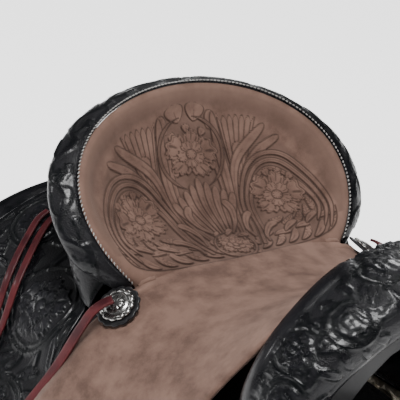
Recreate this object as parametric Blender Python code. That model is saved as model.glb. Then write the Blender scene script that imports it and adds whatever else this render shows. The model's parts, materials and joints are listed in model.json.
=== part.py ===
"""Western saddle: tree, seat, skirts, rigging, fenders and stirrups as separate solids.

Row frame: +X towards the horse's head, +Y the horse's left, +Z up, in metres.
The origin is the crown of the horse's back under the lowest point of the seat.
Panels are cut flat as slabs in (x, s, d): s runs round the girth from the spine,
d stands off the back. Each slab is then wrapped onto the horse's back.
"""
from math import cos, exp, hypot, pi, sin

import bmesh
import bpy
from mathutils import Matrix, Vector

# --- the horse's back -------------------------------------------------------
MAX_SLOPE = 84 * pi / 180      # slope far down the side
SLOPE_LENGTH = 0.25            # girth distance over which the slope builds up
SLOPE_POWER = 1.3
ROCKER = 0.25                  # lengthwise rise of the back, per metre
GIRTH_STEP = 0.025             # flat facets round the girth
LENGTH_STEP = 0.10             # flat facets along the back
GIRTH_KNOTS = 24

# --- layer heights above the horse ------------------------------------------
FLEECE = (0.0, 0.014)
SKIRT = (0.0145, 0.0195)
BAR = (0.0202, 0.042)
JOCKEY_LOW = 0.0245            # jockey's underside beyond the bars
JOCKEY_HIGH = 0.0430           # jockey's underside over the bars
JOCKEY_THICK = 0.0036
SEAT_THICK = 0.0040
SEAT_FLAP = 0.0345             # outer face of the seat's side flap
FENDER_BULGE = 0.0105          # extra room under the flap for the fender

# --- seat and cantle --------------------------------------------------------
BIND_X = -0.030                # where the cantle binding ends
BIND_Y = 0.127
BIND_Z = 0.035
RIM_HALF_WIDTH = 0.1602
RIM_RUN = 0.1462
RIM_RISE = 0.1374
RIM_END = 2.2251               # rim angle at the binding ends, radians
RIM_RUN_POWER = 1.0364
RIM_RISE_POWER = 0.8359
SEAT_LINE = [(-0.1762, 0.1724), (-0.168, 0.158), (-0.150, 0.125), (-0.128, 0.091),
             (-0.100, 0.065), (-0.060, 0.052), (-0.010, 0.0495), (0.040, 0.054),
             (0.090, 0.073), (0.135, 0.107), (0.170, 0.138)]
EDGE_LINE = [(-0.06, 0.035), (-0.03, 0.035), (0.040, 0.034), (0.100, 0.050), (0.170, 0.090)]
SHOULDER_LINE = [(-0.06, 0.001), (-0.03, 0.001), (0.040, 0.003), (0.100, 0.012), (0.170, 0.032)]
SHOULDER_Y = 0.179
FLAP_RUN = (0.064, 0.134, 0.184, 0.229)   # width from the binding line to each flap knot
FLAP_GIRTH = (0.24, 0.29, 0.335)
SEAT_FRONT = 0.166
ROLL_WIDTH = 0.030
ROLL_END_WIDTH = 0.009
ROLL_REACH = 0.965             # share of the rim the roll covers
SEAT_INSET = 0.986             # the seat's edge inside the rim

# --- fork and horn ----------------------------------------------------------
FORK_REAR = 0.173
FORK_SWEEP = 0.020
FORK_HALF_WIDTH = 0.163
FORK_COVER = 0.0035
FORK_LENGTH = 0.088            # along the top at the middle
FORK_SIDE_CUT = 0.022          # how much shorter it is at the sides
FORK_ARCH = [(0.0, 0.169), (0.040, 0.165), (0.080, 0.151), (0.115, 0.1287),
             (0.140, 0.107), (0.157, 0.083), (0.165, 0.058), (0.160, 0.030)]
GULLET_ARCH = [(0.0, 0.116), (0.026, 0.112), (0.050, 0.101), (0.070, 0.084),
               (0.084, 0.067), (0.093, 0.055), (0.100, 0.047), (0.104, 0.041)]
HORN_AXIS_TILT = 0.16
HORN_BASE = (0.214, 0.0, 0.170)
HORN_HEIGHT = 0.078

# --- rigging and stirrups ---------------------------------------------------
STRAP = 0.0036
STRAP_LIGHT = 0.0025
STRING_RADIUS = 0.0030
FENDER_X = 0.060               # centre line of fender and stirrup
FENDER_TOP = 0.303             # girth distance of the fender's hidden top
HANG_Y = 0.3310                # inner face of the hanging fender
FENDER_BOTTOM = -0.510
BOLT_Z = -0.585
BOLT_RADIUS = 0.009
PIVOT_GIRTH = 0.320
STIRRUP_WIDTH = 0.130          # clear width over the tread
STIRRUP_DROP = 0.150           # bolt to tread
STIRRUP_THICK = 0.011
STIRRUP_TOP = STIRRUP_WIDTH * 0.28   # half the clear width beside the bolt
BILLET_WIDTH = 0.044
HARDWARE_GAP = 0.0042          # centre of plates and dees above the skirt
CONCHO_GAP = 0.0015            # rosette above the jockey
PLATE_GIRTH = 0.386
FRONT_PLATE_X = 0.205
REAR_PLATE_X = -0.190

MERGE = 0.0004                 # corners closer than this are one corner
CROWN_POWER = 2.4              # how flat the seat's middle is before it drops to its edge
RIM_LAP = 0.004                # how far the dish's rule reaches past the rim

COLLECTION = "western_saddle"
SIDES = {"left": 1, "right": -1}

BROWN = ("brown_roughout", (0.165, 0.098, 0.068), 0.95, 0.0)
BLACK = ("black_tooled_leather", (0.012, 0.011, 0.013), 0.32, 0.0)
PLAIN = ("black_leather", (0.016, 0.014, 0.015), 0.45, 0.0)
BURGUNDY = ("burgundy_leather", (0.150, 0.030, 0.036), 0.50, 0.0)
SILVER = ("silver_metal", (0.62, 0.60, 0.57), 0.28, 1.0)
STEEL = ("stainless_steel", (0.55, 0.55, 0.55), 0.30, 1.0)
WOOD = ("tree_wood", (0.45, 0.31, 0.18), 0.60, 0.0)
WOOL = ("cream_fleece", (0.72, 0.66, 0.52), 1.0, 0.0)


# --- small maths ------------------------------------------------------------
def smooth_step(t):
    t = min(1.0, max(0.0, t))
    return t * t * (3 - 2 * t)


def smooth_line(knots, x):
    """Smooth curve through (x, value) knots, flat beyond the ends."""
    if x <= knots[0][0]:
        return knots[0][1]
    if x >= knots[-1][0]:
        return knots[-1][1]
    slopes = []
    for i in range(len(knots)):
        a = knots[max(i - 1, 0)]
        b = knots[min(i + 1, len(knots) - 1)]
        slopes.append((b[1] - a[1]) / (b[0] - a[0]))
    i = max(k for k in range(len(knots) - 1) if knots[k][0] <= x)
    width = knots[i + 1][0] - knots[i][0]
    t = (x - knots[i][0]) / width
    rise = knots[i + 1][1] - knots[i][1]
    bend_a = slopes[i] * width - rise
    bend_b = rise - slopes[i + 1] * width
    return knots[i][1] + rise * t + t * (1 - t) * ((1 - t) * bend_a + t * bend_b)


def smooth_path(points, steps, closed=False):
    """Points along a smooth curve through the given points."""
    count = len(points)
    spans = count if closed else count - 1
    path = []
    for i in range(spans):
        a, b, c, d = (points[(i + k) % count] if closed else
                      points[min(max(i + k, 0), count - 1)] for k in (-1, 0, 1, 2))
        for k in range(steps):
            t = k / steps
            path.append(tuple(0.5 * (2 * q + (r - p) * t + (2 * p - 5 * q + 4 * r - e) * t * t
                                     + (3 * q - p - 3 * r + e) * t * t * t)
                              for p, q, r, e in zip(a, b, c, d)))
    if not closed:
        path.append(tuple(points[-1]))
    return path


# --- the horse's back -------------------------------------------------------
def back_slope(s):
    return MAX_SLOPE * (1 - exp(-(max(s, 0.0) / SLOPE_LENGTH) ** SLOPE_POWER))


def girth_knots():
    """Base points of the girth curve with the mitred normal at each."""
    points = [(0.0, 0.0)]
    slopes = []
    for k in range(GIRTH_KNOTS):
        slope = back_slope((k + 0.5) * GIRTH_STEP)
        slopes.append(slope)
        y, z = points[-1]
        points.append((y + GIRTH_STEP * cos(slope), z - GIRTH_STEP * sin(slope)))
    normals = [(0.0, 1.0)]
    for k in range(1, GIRTH_KNOTS):
        middle = (slopes[k - 1] + slopes[k]) / 2
        stretch = 1 / cos((slopes[k] - slopes[k - 1]) / 2)
        normals.append((sin(middle) * stretch, cos(middle) * stretch))
    normals.append((sin(slopes[-1]), cos(slopes[-1])))
    return points, normals


BACK_POINTS, BACK_NORMALS = girth_knots()


def rocker(x):
    k = int(x // LENGTH_STEP)
    t = x / LENGTH_STEP - k
    low = ROCKER * (k * LENGTH_STEP) ** 2
    high = ROCKER * ((k + 1) * LENGTH_STEP) ** 2
    return low + (high - low) * t


def on_back(x, s, d, side):
    """World point at length x, girth distance s, standing d off the horse."""
    k = min(int(s / GIRTH_STEP), GIRTH_KNOTS - 1)
    t = s / GIRTH_STEP - k
    ends = [(BACK_POINTS[k + i][0] + d * BACK_NORMALS[k + i][0],
             BACK_POINTS[k + i][1] + d * BACK_NORMALS[k + i][1]) for i in (0, 1)]
    y = ends[0][0] + (ends[1][0] - ends[0][0]) * t
    z = ends[0][1] + (ends[1][1] - ends[0][1]) * t
    return Vector((x, side * y, z + rocker(x)))


def back_frame(x, s, d, side):
    """Frame on the back: local X forward, local Y down the side, local Z outwards."""
    origin = on_back(x, s, d, side)
    forward = (on_back(x + 0.02, s, d, side) - on_back(x - 0.02, s, d, side)).normalized()
    down = (on_back(x, s + 0.02, d, side) - on_back(x, s - 0.02, d, side)).normalized()
    out = forward.cross(down) * side
    out.normalize()
    down = out.cross(forward) * side
    frame = Matrix((forward, down * side, out)).transposed().to_4x4()
    frame.translation = origin
    return frame


def jockey_lift(x, s):
    """Underside of the jockeys: over the bars, then down onto the skirt."""
    over_bar = smooth_step((0.222 - s) / 0.06) * smooth_step((x + 0.300) / 0.09)
    return JOCKEY_LOW + (JOCKEY_HIGH - JOCKEY_LOW) * over_bar


# --- the seat surface -------------------------------------------------------
def rim_part(x):
    """How far up the rim the length x lies, from 0 at the ends to 1 at the top."""
    return max(0.0, min(1.0, (BIND_X - x) / RIM_RUN)) ** (1 / RIM_RUN_POWER)


def rim_at(x):
    part = rim_part(x)
    turn = cos(RIM_END) + part * (1 - cos(RIM_END))
    return RIM_HALF_WIDTH * max(0.0, 1 - turn * turn) ** 0.5, BIND_Z + RIM_RISE * part ** RIM_RISE_POWER


def rim_point(angle):
    part = (cos(angle) - cos(RIM_END)) / (1 - cos(RIM_END))
    part = max(part, 0.0)
    return Vector((BIND_X - RIM_RUN * part ** RIM_RUN_POWER, RIM_HALF_WIDTH * sin(angle),
                   BIND_Z + RIM_RISE * part ** RIM_RISE_POWER))


def flap_height(x):
    near_fender = smooth_step((0.115 - abs(x - FENDER_X)) / 0.055)
    return SEAT_FLAP + FENDER_BULGE * near_fender


def seat_section(x, w):
    """(y, z) of the seat's top at width w, out over the flap."""
    crest = smooth_line(SEAT_LINE, x)
    edge = smooth_line(EDGE_LINE, x)
    if w <= BIND_Y:
        return w, crest + (edge - crest) * (w / BIND_Y) ** CROWN_POWER
    knots = [(BIND_Y, edge), (SHOULDER_Y, smooth_line(SHOULDER_LINE, x))]
    for s in FLAP_GIRTH:
        point = on_back(x, s, flap_height(x), 1)
        knots.append((point.y, point.z))
    runs = (0.0,) + FLAP_RUN
    run = w - BIND_Y
    return (smooth_line([(r, k[0]) for r, k in zip(runs, knots)], run),
            smooth_line([(r, k[1]) for r, k in zip(runs, knots)], run))


def seat_top(x, w):
    """World point of the seat's top face, w measured out from the centre line."""
    side = -1 if w < 0 else 1
    width = abs(w)
    rim_width, rim_height = rim_at(x)
    if x < BIND_X and width < rim_width + RIM_LAP:
        crest = smooth_line(SEAT_LINE, x)
        power = CROWN_POWER + 0.8 * smooth_step((BIND_X - x) / 0.06)
        share = min(1.0, width / max(rim_width, 0.002))
        return Vector((x, w, crest + (rim_height - crest) * share ** power))
    y, z = seat_section(max(x, BIND_X), width)
    return Vector((x, side * y, z))


def seat_point(x, w, d):
    """Point d off the seat's top face, square to its cross-section."""
    step = 0.002
    across = seat_top(x, w + step) - seat_top(x, w - step)
    if x < BIND_X and abs(w) < rim_at(x)[0] + RIM_LAP:
        return seat_top(x, w) + Vector((0, 0, d))
    normal = Vector((0, -across.z, across.y)).normalized()
    return seat_top(x, w) + normal * d


# --- building helpers -------------------------------------------------------
def material(look):
    name, colour, roughness, metallic = look
    found = bpy.data.materials.get(name)
    if found:
        return found
    made = bpy.data.materials.new(name)
    made.use_nodes = True
    shader = made.node_tree.nodes["Principled BSDF"]
    shader.inputs["Base Color"].default_value = (*colour, 1)
    shader.inputs["Roughness"].default_value = roughness
    shader.inputs["Metallic"].default_value = metallic
    return made


def add_object(name, mesh, look):
    made = bpy.data.objects.new(name, mesh)
    bpy.data.collections[COLLECTION].objects.link(made)
    mesh.materials.clear()
    mesh.materials.append(material(look))
    mesh.shade_smooth()
    mesh.set_sharp_from_angle(angle=0.6)
    return made


def mesh_from(bm, name):
    bmesh.ops.recalc_face_normals(bm, faces=bm.faces)
    if bm.calc_volume(signed=True) < 0:
        bmesh.ops.reverse_faces(bm, faces=bm.faces)
    mesh = bpy.data.meshes.new(name)
    bm.to_mesh(mesh)
    bm.free()
    return mesh


def cut_on_grid(bm, axis, step, offset=0.0):
    """Cut a flat slab on every grid plane square to one axis."""
    values = [v.co[axis] for v in bm.verts]
    first = int((min(values) - offset) // step)
    last = int((max(values) - offset) // step) + 1
    normal = Vector((0, 0, 0))
    normal[axis] = 1
    for k in range(first, last + 1):
        geometry = bm.verts[:] + bm.edges[:] + bm.faces[:]
        bmesh.ops.bisect_plane(bm, geom=geometry, dist=1e-5,
                               plane_co=normal * (k * step + offset), plane_no=normal)


def slab(outline, low, high, steps, offsets=(0.0, 0.0)):
    """Flat slab with the outline's shape, cut on its grid lines."""
    bm = bmesh.new()
    face = bm.faces.new([bm.verts.new((x, w, low)) for x, w in outline])
    top = bmesh.ops.extrude_face_region(bm, geom=[face])
    raised = [v for v in top["geom"] if isinstance(v, bmesh.types.BMVert)]
    bmesh.ops.translate(bm, verts=raised, vec=(0, 0, high - low))
    for axis in (0, 1):
        if steps[axis]:
            cut_on_grid(bm, axis, steps[axis], offsets[axis])
    bmesh.ops.remove_doubles(bm, verts=bm.verts, dist=MERGE)
    bmesh.ops.triangulate(bm, faces=[f for f in bm.faces if len(f.verts) > 4])
    return bm


def wrapped(name, bm, place, look):
    """Wrap a flat slab with the place(x, w, d) rule and add it."""
    for v in bm.verts:
        v.co = place(v.co.x, v.co.y, v.co.z)
    return add_object(name, mesh_from(bm, name), look)


def back_panel(name, outline, layer, look, side, lift=None):
    """A panel lying on the horse's back between two heights."""
    points = smooth_path(outline, 2, closed=True)
    bm = slab(points, layer[0], layer[1], (LENGTH_STEP, GIRTH_STEP))
    if lift:
        return wrapped(name, bm, lambda x, s, d: on_back(x, s, d + lift(x, s), side), look)
    return wrapped(name, bm, lambda x, s, d: on_back(x, s, d, side), look)


def path_normals(path):
    """Arc lengths of a (y, z) path with the normal to its left at each point."""
    lengths = [0.0]
    for a, b in zip(path, path[1:]):
        lengths.append(lengths[-1] + hypot(b[0] - a[0], b[1] - a[1]))
    normals = []
    for i in range(len(path)):
        a = path[max(i - 1, 0)]
        b = path[min(i + 1, len(path) - 1)]
        length = hypot(b[0] - a[0], b[1] - a[1])
        normals.append((-(b[1] - a[1]) / length, (b[0] - a[0]) / length))
    return lengths, normals


def bent_slab(outline, path, thick, axis):
    """Flat slab whose given axis runs along a path, cut where the path turns."""
    lengths = path_normals(path)[0]
    bm = slab(outline, 0.0, thick, (0.0, 0.0))
    normal = Vector((0, 0, 0))
    normal[axis] = 1
    for length in lengths[1:-1]:
        geometry = bm.verts[:] + bm.edges[:] + bm.faces[:]
        bmesh.ops.bisect_plane(bm, geom=geometry, dist=1e-5, plane_co=normal * length, plane_no=normal)
    bmesh.ops.remove_doubles(bm, verts=bm.verts, dist=MERGE)
    return bm


def along_path(path, along, d):
    """Point at a length along a plane path, d to its left."""
    lengths, normals = path_normals(path)
    along = min(max(along, 0.0), lengths[-1])
    i = max(k for k in range(len(lengths) - 1) if lengths[k] <= along + 1e-9)
    t = (along - lengths[i]) / (lengths[i + 1] - lengths[i])
    point = [a + (b - a) * t for a, b in zip(path[i], path[i + 1])]
    normal = [a + (b - a) * t for a, b in zip(normals[i], normals[i + 1])]
    return point[0] + d * normal[0], point[1] + d * normal[1]


def strap_panel(name, outline, path, thick, look, side):
    """A strap or fender: outline in (x, length along the path), bent along the path."""
    bm = bent_slab(outline, path, thick, 1)

    def place(x, along, d):
        y, z = along_path(path, along, d)
        return Vector((x, side * y, z))

    return wrapped(name, bm, place, look)


def strap_outline(centre, width, length):
    half = width / 2
    tip = half * 0.6
    return [(centre - half, 0.0), (centre + half, 0.0), (centre + half, length - tip),
            (centre + half * 0.4, length), (centre - half * 0.4, length), (centre - half, length - tip)]


def turned(name, profile, frame, look, steps=24):
    """A turned solid from an (r, z) profile that runs from the axis back to the axis."""
    bm = bmesh.new()
    verts = [bm.verts.new((r, 0, z)) for r, z in profile]
    edges = [bm.edges.new(pair) for pair in zip(verts, verts[1:])]
    bmesh.ops.spin(bm, geom=verts + edges, cent=(0, 0, 0), axis=(0, 0, 1), angle=2 * pi,
                   steps=steps, use_merge=True)
    bmesh.ops.remove_doubles(bm, verts=bm.verts, dist=1e-5)
    bmesh.ops.transform(bm, matrix=frame, verts=bm.verts)
    return add_object(name, mesh_from(bm, name), look)


def tube(name, points, radius, look, closed=False):
    """A round tube along a list of points, with filled ends."""
    curve = bpy.data.curves.new(name, "CURVE")
    curve.dimensions = "3D"
    curve.bevel_depth = radius
    curve.bevel_resolution = 2
    curve.use_fill_caps = not closed
    spline = curve.splines.new("POLY")
    spline.points.add(len(points) - 1)
    for point, place in zip(spline.points, points):
        point.co = (*place, 1)
    spline.use_cyclic_u = closed
    made = bpy.data.objects.new(name, curve)
    bpy.data.collections[COLLECTION].objects.link(made)
    curve.materials.append(material(look))
    return made


# --- tree -------------------------------------------------------------------
def make_bars():
    outline = [(-0.200, 0.085), (-0.180, 0.060), (-0.120, 0.052), (0.000, 0.052), (0.150, 0.052),
               (0.235, 0.062), (0.268, 0.090), (0.262, 0.128), (0.200, 0.152), (0.060, 0.154),
               (-0.080, 0.154), (-0.165, 0.150), (-0.196, 0.125)]
    for word, side in SIDES.items():
        back_panel(f"tree_bar_{word}", outline, BAR, WOOD, side)


def rim_outline(scale, front, count=18):
    """Plan of the cantle's rim, pulled in by a scale and cut straight at the front."""
    points = []
    for i in range(count + 1):
        angle = RIM_END * (2 * i / count - 1)
        rim = rim_point(angle)
        x = BIND_X + (rim.x - BIND_X) * scale
        if x <= front:
            points.append((x, rim.y * scale))
    return points


def make_tree_cantle():
    bm = slab(rim_outline(0.965, -0.112, 24), 0.0, 1.0, (0.02, 0.03))

    def place(x, w, d):
        deep = 0.0200 + 0.015 * smooth_step((x + 0.165) / 0.045)
        return seat_top(x, w) - Vector((0, 0, 0.0085 + (deep - 0.0085) * d))

    wrapped("tree_cantle", bm, place, WOOD)


def make_ground_seat():
    outline = smooth_path([(-0.098, 0.0), (-0.098, 0.060), (-0.070, 0.082), (0.0, 0.080),
                           (0.080, 0.074), (0.150, 0.060), (0.155, 0.0), (0.150, -0.060),
                           (0.080, -0.074), (0.0, -0.080), (-0.070, -0.082), (-0.098, -0.060)],
                          2, closed=True)
    bm = slab(outline, -0.0012, 0.0, (0.025, 0.02))
    wrapped("ground_seat", bm, lambda x, w, d: seat_point(x, w, d - 0.0062), STEEL)


def arch_point(table, turn):
    """Point on a half-arch table, turn running from -1 (right foot) to 1 (left foot)."""
    side = -1 if turn < 0 else 1
    place = abs(turn) * (len(table) - 1)
    y = smooth_line([(i, p[0]) for i, p in enumerate(table)], place)
    z = smooth_line([(i, p[1]) for i, p in enumerate(table)], place)
    return side * y, z


def fork_place(along, turn, depth, inset=0.0):
    """Fork point: along = metres ahead of the rear edge, depth 0 outside to 1 at the gullet."""
    y, z = arch_point(FORK_ARCH, turn)
    gy, gz = arch_point(GULLET_ARCH, turn)
    run = hypot(gy - y, gz - z)
    share = depth + inset / run
    x = FORK_REAR + FORK_SWEEP * (y / FORK_HALF_WIDTH) ** 2 + along
    return Vector((x, y + (gy - y) * share, z + (gz - z) * share))


def fork_length(turn):
    """Fore-and-aft length of the fork's top, long at the middle and short at the sides."""
    return FORK_LENGTH - FORK_SIDE_CUT * smooth_step(abs(turn) * 1.3)


def make_fork():
    outline = [(0.0125, -1.0), (0.070, -1.0), (0.070, 1.0), (0.0125, 1.0)]
    bm = slab(outline, 0.0, 1.0, (0.0, 1 / 7))

    def place(along, turn, depth):
        stretch = fork_length(turn) / FORK_LENGTH
        crown = 0.007 * sin(pi * along / 0.085) * (1 - depth)
        return fork_place(along * stretch, turn, depth * 0.92, 0.0075 - crown)

    wrapped("tree_fork", bm, place, WOOD)


def cover_section(turn):
    """Fork cover's section as (along, depth in metres): rear lip, top, crest, front lip."""
    long = fork_length(turn)
    return [(0.0035, 0.024), (0.0, 0.004), (0.006, 0.0), (0.030, -0.006), (long * 0.68, -0.005),
            (long * 0.93, 0.004), (long, 0.018), (long - 0.002, 0.030)]


def make_fork_cover():
    rows = 8
    outline = [(0.0, -1.0), (rows - 1.0, -1.0), (rows - 1.0, 1.0), (0.0, 1.0)]
    bm = slab(outline, 0.0, 1.0, (1.0, 1 / 14))

    def place(row, turn, d):
        section = cover_section(turn)
        k = min(int(round(row)), rows - 1)
        before = section[max(k - 1, 0)]
        after = section[min(k + 1, rows - 1)]
        length = hypot(after[0] - before[0], after[1] - before[1])
        inward = (-(after[1] - before[1]) / length, (after[0] - before[0]) / length)
        along = section[k][0] + inward[0] * FORK_COVER * d
        depth = section[k][1] + inward[1] * FORK_COVER * d
        return fork_place(along, turn, 0.0, depth)

    wrapped("fork_cover", bm, place, BLACK)


def horn_frame(height):
    turn = Matrix.Rotation(HORN_AXIS_TILT, 4, "Y")
    return Matrix.Translation(Vector(HORN_BASE)) @ turn @ Matrix.Translation((0, 0, height))


def make_horn():
    turned("horn_core", [(0.0, 0.0105), (0.020, 0.0105), (0.0152, 0.022), (0.0146, HORN_HEIGHT - 0.006),
                         (0.030, HORN_HEIGHT - 0.001), (0.034, HORN_HEIGHT + 0.005),
                         (0.0, HORN_HEIGHT + 0.005)], horn_frame(0), STEEL)
    wrap = [(0.0165, 0.0235), (0.0240, 0.0225), (0.0205, 0.034), (0.0200, HORN_HEIGHT - 0.018),
            (0.0230, HORN_HEIGHT - 0.0085), (0.0162, HORN_HEIGHT - 0.0085), (0.0165, 0.0235)]
    turned("horn_wrap", wrap, horn_frame(0), PLAIN)
    cap = [(0.0, 0.0055), (0.0345, 0.0055), (0.0345, -0.0005), (0.0375, -0.0005), (0.0398, 0.003),
           (0.0385, 0.009), (0.034, 0.0115), (0.0, 0.0115)]
    turned("horn_cap", cap, horn_frame(HORN_HEIGHT), BLACK)


# --- seat and cantle --------------------------------------------------------
def make_seat():
    rim = rim_outline(SEAT_INSET, BIND_X, 26)
    width = BIND_Y + FLAP_RUN[-1]
    flap = [(-0.019, 0.131), (-0.014, 0.146), (-0.012, 0.165), (-0.014, 0.215), (-0.022, 0.290),
            (-0.022, 0.335), (-0.010, width), (0.050, width), (0.110, width - 0.004),
            (0.143, 0.325), (0.155, 0.260), (0.160, 0.190), (SEAT_FRONT - 0.002, 0.130)]
    outline = rim + flap + [(SEAT_FRONT, 0.060), (SEAT_FRONT, -0.060)]
    outline += [(x, -w) for x, w in reversed(flap)]
    bm = slab(outline, -SEAT_THICK, 0.0, (0.025, 0.027))
    wrapped("seat_cover", bm, seat_point, BROWN)


def roll_frame(angle):
    """Rim point with the roll's outward and upward directions."""
    point = rim_point(angle)
    ahead = rim_point(min(angle + 0.02, RIM_END)) - rim_point(max(angle - 0.02, -RIM_END))
    ahead.normalize()
    out = Vector((-0.35 - 0.57 * max(cos(angle), 0.0) ** 2, 0.85 * sin(angle), -0.36))
    out -= ahead * out.dot(ahead)
    out.normalize()
    up = ahead.cross(out)
    if up.z < 0:
        up = -up
    return point, out, up


def roll_width(angle):
    end = smooth_step((RIM_END - abs(angle)) / 0.55)
    return ROLL_END_WIDTH + (ROLL_WIDTH - ROLL_END_WIDTH) * end


def make_roll():
    stations = 30
    rows = [(0.0032, 0.0006, 0.0), (0.0, 0.0034, 0.25), (0.0, 0.0040, 0.6), (0.0, 0.0008, 0.92),
            (0.0, -0.0050, 1.0), (0.0, -0.0095, 0.90), (0.0060, -0.0085, 0.5), (0.0130, -0.0062, 0.0)]
    bm = bmesh.new()
    rings = []
    for i in range(stations + 1):
        angle = RIM_END * ROLL_REACH * (2 * i / stations - 1)
        point, out, up = roll_frame(angle)
        width = roll_width(angle)
        height = 0.22 + 0.78 * smooth_step((width - 0.008) / 0.016)
        ring = []
        clear = 0.0032 * (1 - smooth_step((RIM_END - abs(angle)) / 0.6))
        for start, rise, share in rows:
            reach = start + (width - start) * share + clear * (1 - share)
            ring.append(bm.verts.new(point + out * min(reach, width) + up * rise * height))
        rings.append([bm.edges.new((ring[k], ring[(k + 1) % len(ring)])) for k in range(len(ring))])
        if i in (0, stations):
            bm.faces.new(ring)
    for a, b in zip(rings, rings[1:]):
        bmesh.ops.bridge_loops(bm, edges=a + b)
    add_object("cantle_roll", mesh_from(bm, "cantle_roll"), BLACK)


def make_cantle_back():
    reach = 2.08
    outline = [(-reach, 0.0), (reach, 0.0), (reach, 1.0), (-reach, 1.0)]
    bm = slab(outline, 0.0, 0.003, (reach / 12, 0.25))

    def surface(angle, t):
        point, out, up = roll_frame(angle)
        top = point + out * 0.0105 - up * 0.0125
        turn = angle / reach * pi / 2
        x = -0.051 - 0.113 * cos(turn)
        s = 0.140 * abs(sin(turn))
        foot = on_back(x, s, jockey_lift(x, s) + JOCKEY_THICK + 0.0040, 1 if angle > 0 else -1)
        bulge = out * 0.006 * sin(pi * t)
        return top + (foot - top) * t + bulge

    def place(angle, t, d):
        point = surface(angle, t)
        across = surface(min(angle + 0.02, reach), t) - surface(max(angle - 0.02, -reach), t)
        down = surface(angle, min(t + 0.02, 1)) - surface(angle, max(t - 0.02, 0))
        normal = across.cross(down).normalized()
        if normal.dot(Vector((-0.5, 0.8 * sin(angle), 0))) < 0:
            normal = -normal
        return point + normal * d

    wrapped("cantle_back", bm, place, PLAIN)


# --- jockeys, skirts and fleece ---------------------------------------------
def make_jockeys():
    rear = [(-0.222, 0.014), (-0.190, 0.004), (-0.150, 0.004), (-0.138, 0.040), (-0.104, 0.092),
            (-0.062, 0.140), (-0.042, 0.185), (-0.027, 0.240), (-0.031, 0.300), (-0.066, 0.340),
            (-0.112, 0.350), (-0.162, 0.342), (-0.208, 0.310), (-0.234, 0.250), (-0.242, 0.170),
            (-0.237, 0.080)]
    front = [(0.178, 0.150), (0.225, 0.138), (0.275, 0.150), (0.312, 0.185), (0.322, 0.235),
             (0.300, 0.285), (0.250, 0.312), (0.196, 0.308), (0.176, 0.250), (0.172, 0.190)]
    for word, side in SIDES.items():
        back_panel(f"rear_jockey_{word}", rear, (0.0, JOCKEY_THICK), BLACK, side, jockey_lift)
        back_panel(f"front_jockey_{word}", front, (0.0, JOCKEY_THICK), BLACK, side, jockey_lift)


def make_skirts():
    skirt = [(-0.245, 0.010), (-0.150, 0.008), (0.050, 0.008), (0.215, 0.010), (0.285, 0.035),
             (0.335, 0.105), (0.352, 0.200), (0.338, 0.300), (0.285, 0.372), (0.180, 0.396),
             (0.030, 0.402), (-0.120, 0.402), (-0.232, 0.390), (-0.278, 0.338), (-0.293, 0.250),
             (-0.290, 0.150), (-0.270, 0.050)]
    fleece = [(x * 0.985, 0.014 + (s - 0.014) * 0.985) for x, s in skirt]
    for word, side in SIDES.items():
        back_panel(f"skirt_{word}", skirt, SKIRT, BLACK, side)
        back_panel(f"skirt_fleece_{word}", fleece, FLEECE, WOOL, side)


# --- conchos, strings and rigging -------------------------------------------
def concho_frame(place, side):
    """Frame of a concho site: local Z is the outward normal."""
    if place == "seat":
        normal = Vector((0.08, 0.60 * side, 0.79)).normalized()
        origin = Vector((-0.0174, 0.1517 * side, 0.0262))
        turn = normal.to_track_quat("Z", "Y").to_matrix().to_4x4()
        turn.translation = origin
        return turn
    if place == "rear":
        x, s = -0.190, 0.275
    else:
        x, s = 0.262, 0.255
    return back_frame(x, s, jockey_lift(x, s) + JOCKEY_THICK + CONCHO_GAP, side)


def make_conchos():
    rosette = [(0.0, 0.0), (0.0225, 0.0), (0.0225, 0.0026), (0.0, 0.0026)]
    concho = [(0.0, 0.0030), (0.0170, 0.0030), (0.0178, 0.0040), (0.0152, 0.0060),
              (0.0100, 0.0078), (0.0, 0.0086)]
    for place in ("seat", "rear", "front"):
        for word, side in SIDES.items():
            frame = concho_frame(place, side)
            turned(f"{place}_rosette_{word}", rosette, frame, PLAIN, 20)
            turned(f"{place}_concho_{word}", concho, frame, SILVER, 20)


SEAT_STRING = [(-0.0160, 0.1605, 0.0375), (-0.0190, 0.1695, 0.0328), (-0.0215, 0.1788, 0.0240),
               (-0.0235, 0.1865, 0.0095), (-0.0255, 0.1945, -0.0070), (-0.0275, 0.2035, -0.0260),
               (-0.0305, 0.2160, -0.0480), (-0.0345, 0.2350, -0.0760), (-0.0385, 0.2560, -0.1080),
               (-0.0430, 0.2780, -0.1480), (-0.0480, 0.2950, -0.1930), (-0.0530, 0.3050, -0.2430),
               (-0.0570, 0.3090, -0.2980), (-0.0590, 0.3100, -0.3520)]
FRONT_CANTLE_STRING = [(-0.1870, 0.1215, 0.0375), (-0.1850, 0.1345, 0.0310), (-0.1730, 0.1530, 0.0200),
                       (-0.1580, 0.1715, 0.0080), (-0.1430, 0.1910, -0.0095), (-0.1340, 0.2040, -0.0325),
                       (-0.1300, 0.2150, -0.0550), (-0.1270, 0.2330, -0.0775), (-0.1250, 0.2525, -0.1040),
                       (-0.1240, 0.2695, -0.1315), (-0.1240, 0.2855, -0.1595), (-0.1240, 0.3035, -0.1860),
                       (-0.1240, 0.3110, -0.2300), (-0.1240, 0.3140, -0.2800), (-0.1240, 0.3150, -0.3300)]
REAR_CANTLE_STRING = [(-0.1990, 0.1280, 0.0355), (-0.1970, 0.1400, 0.0295), (-0.1850, 0.1580, 0.0180),
                      (-0.1710, 0.1765, 0.0055), (-0.1570, 0.1945, -0.0130), (-0.1490, 0.2060, -0.0360),
                      (-0.1450, 0.2175, -0.0575), (-0.1420, 0.2350, -0.0790), (-0.1410, 0.2525, -0.1030),
                      (-0.1410, 0.2695, -0.1305), (-0.1410, 0.2855, -0.1585), (-0.1410, 0.3035, -0.1860),
                      (-0.1410, 0.3105, -0.2300), (-0.1410, 0.3130, -0.2800), (-0.1410, 0.3140, -0.3450)]


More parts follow.
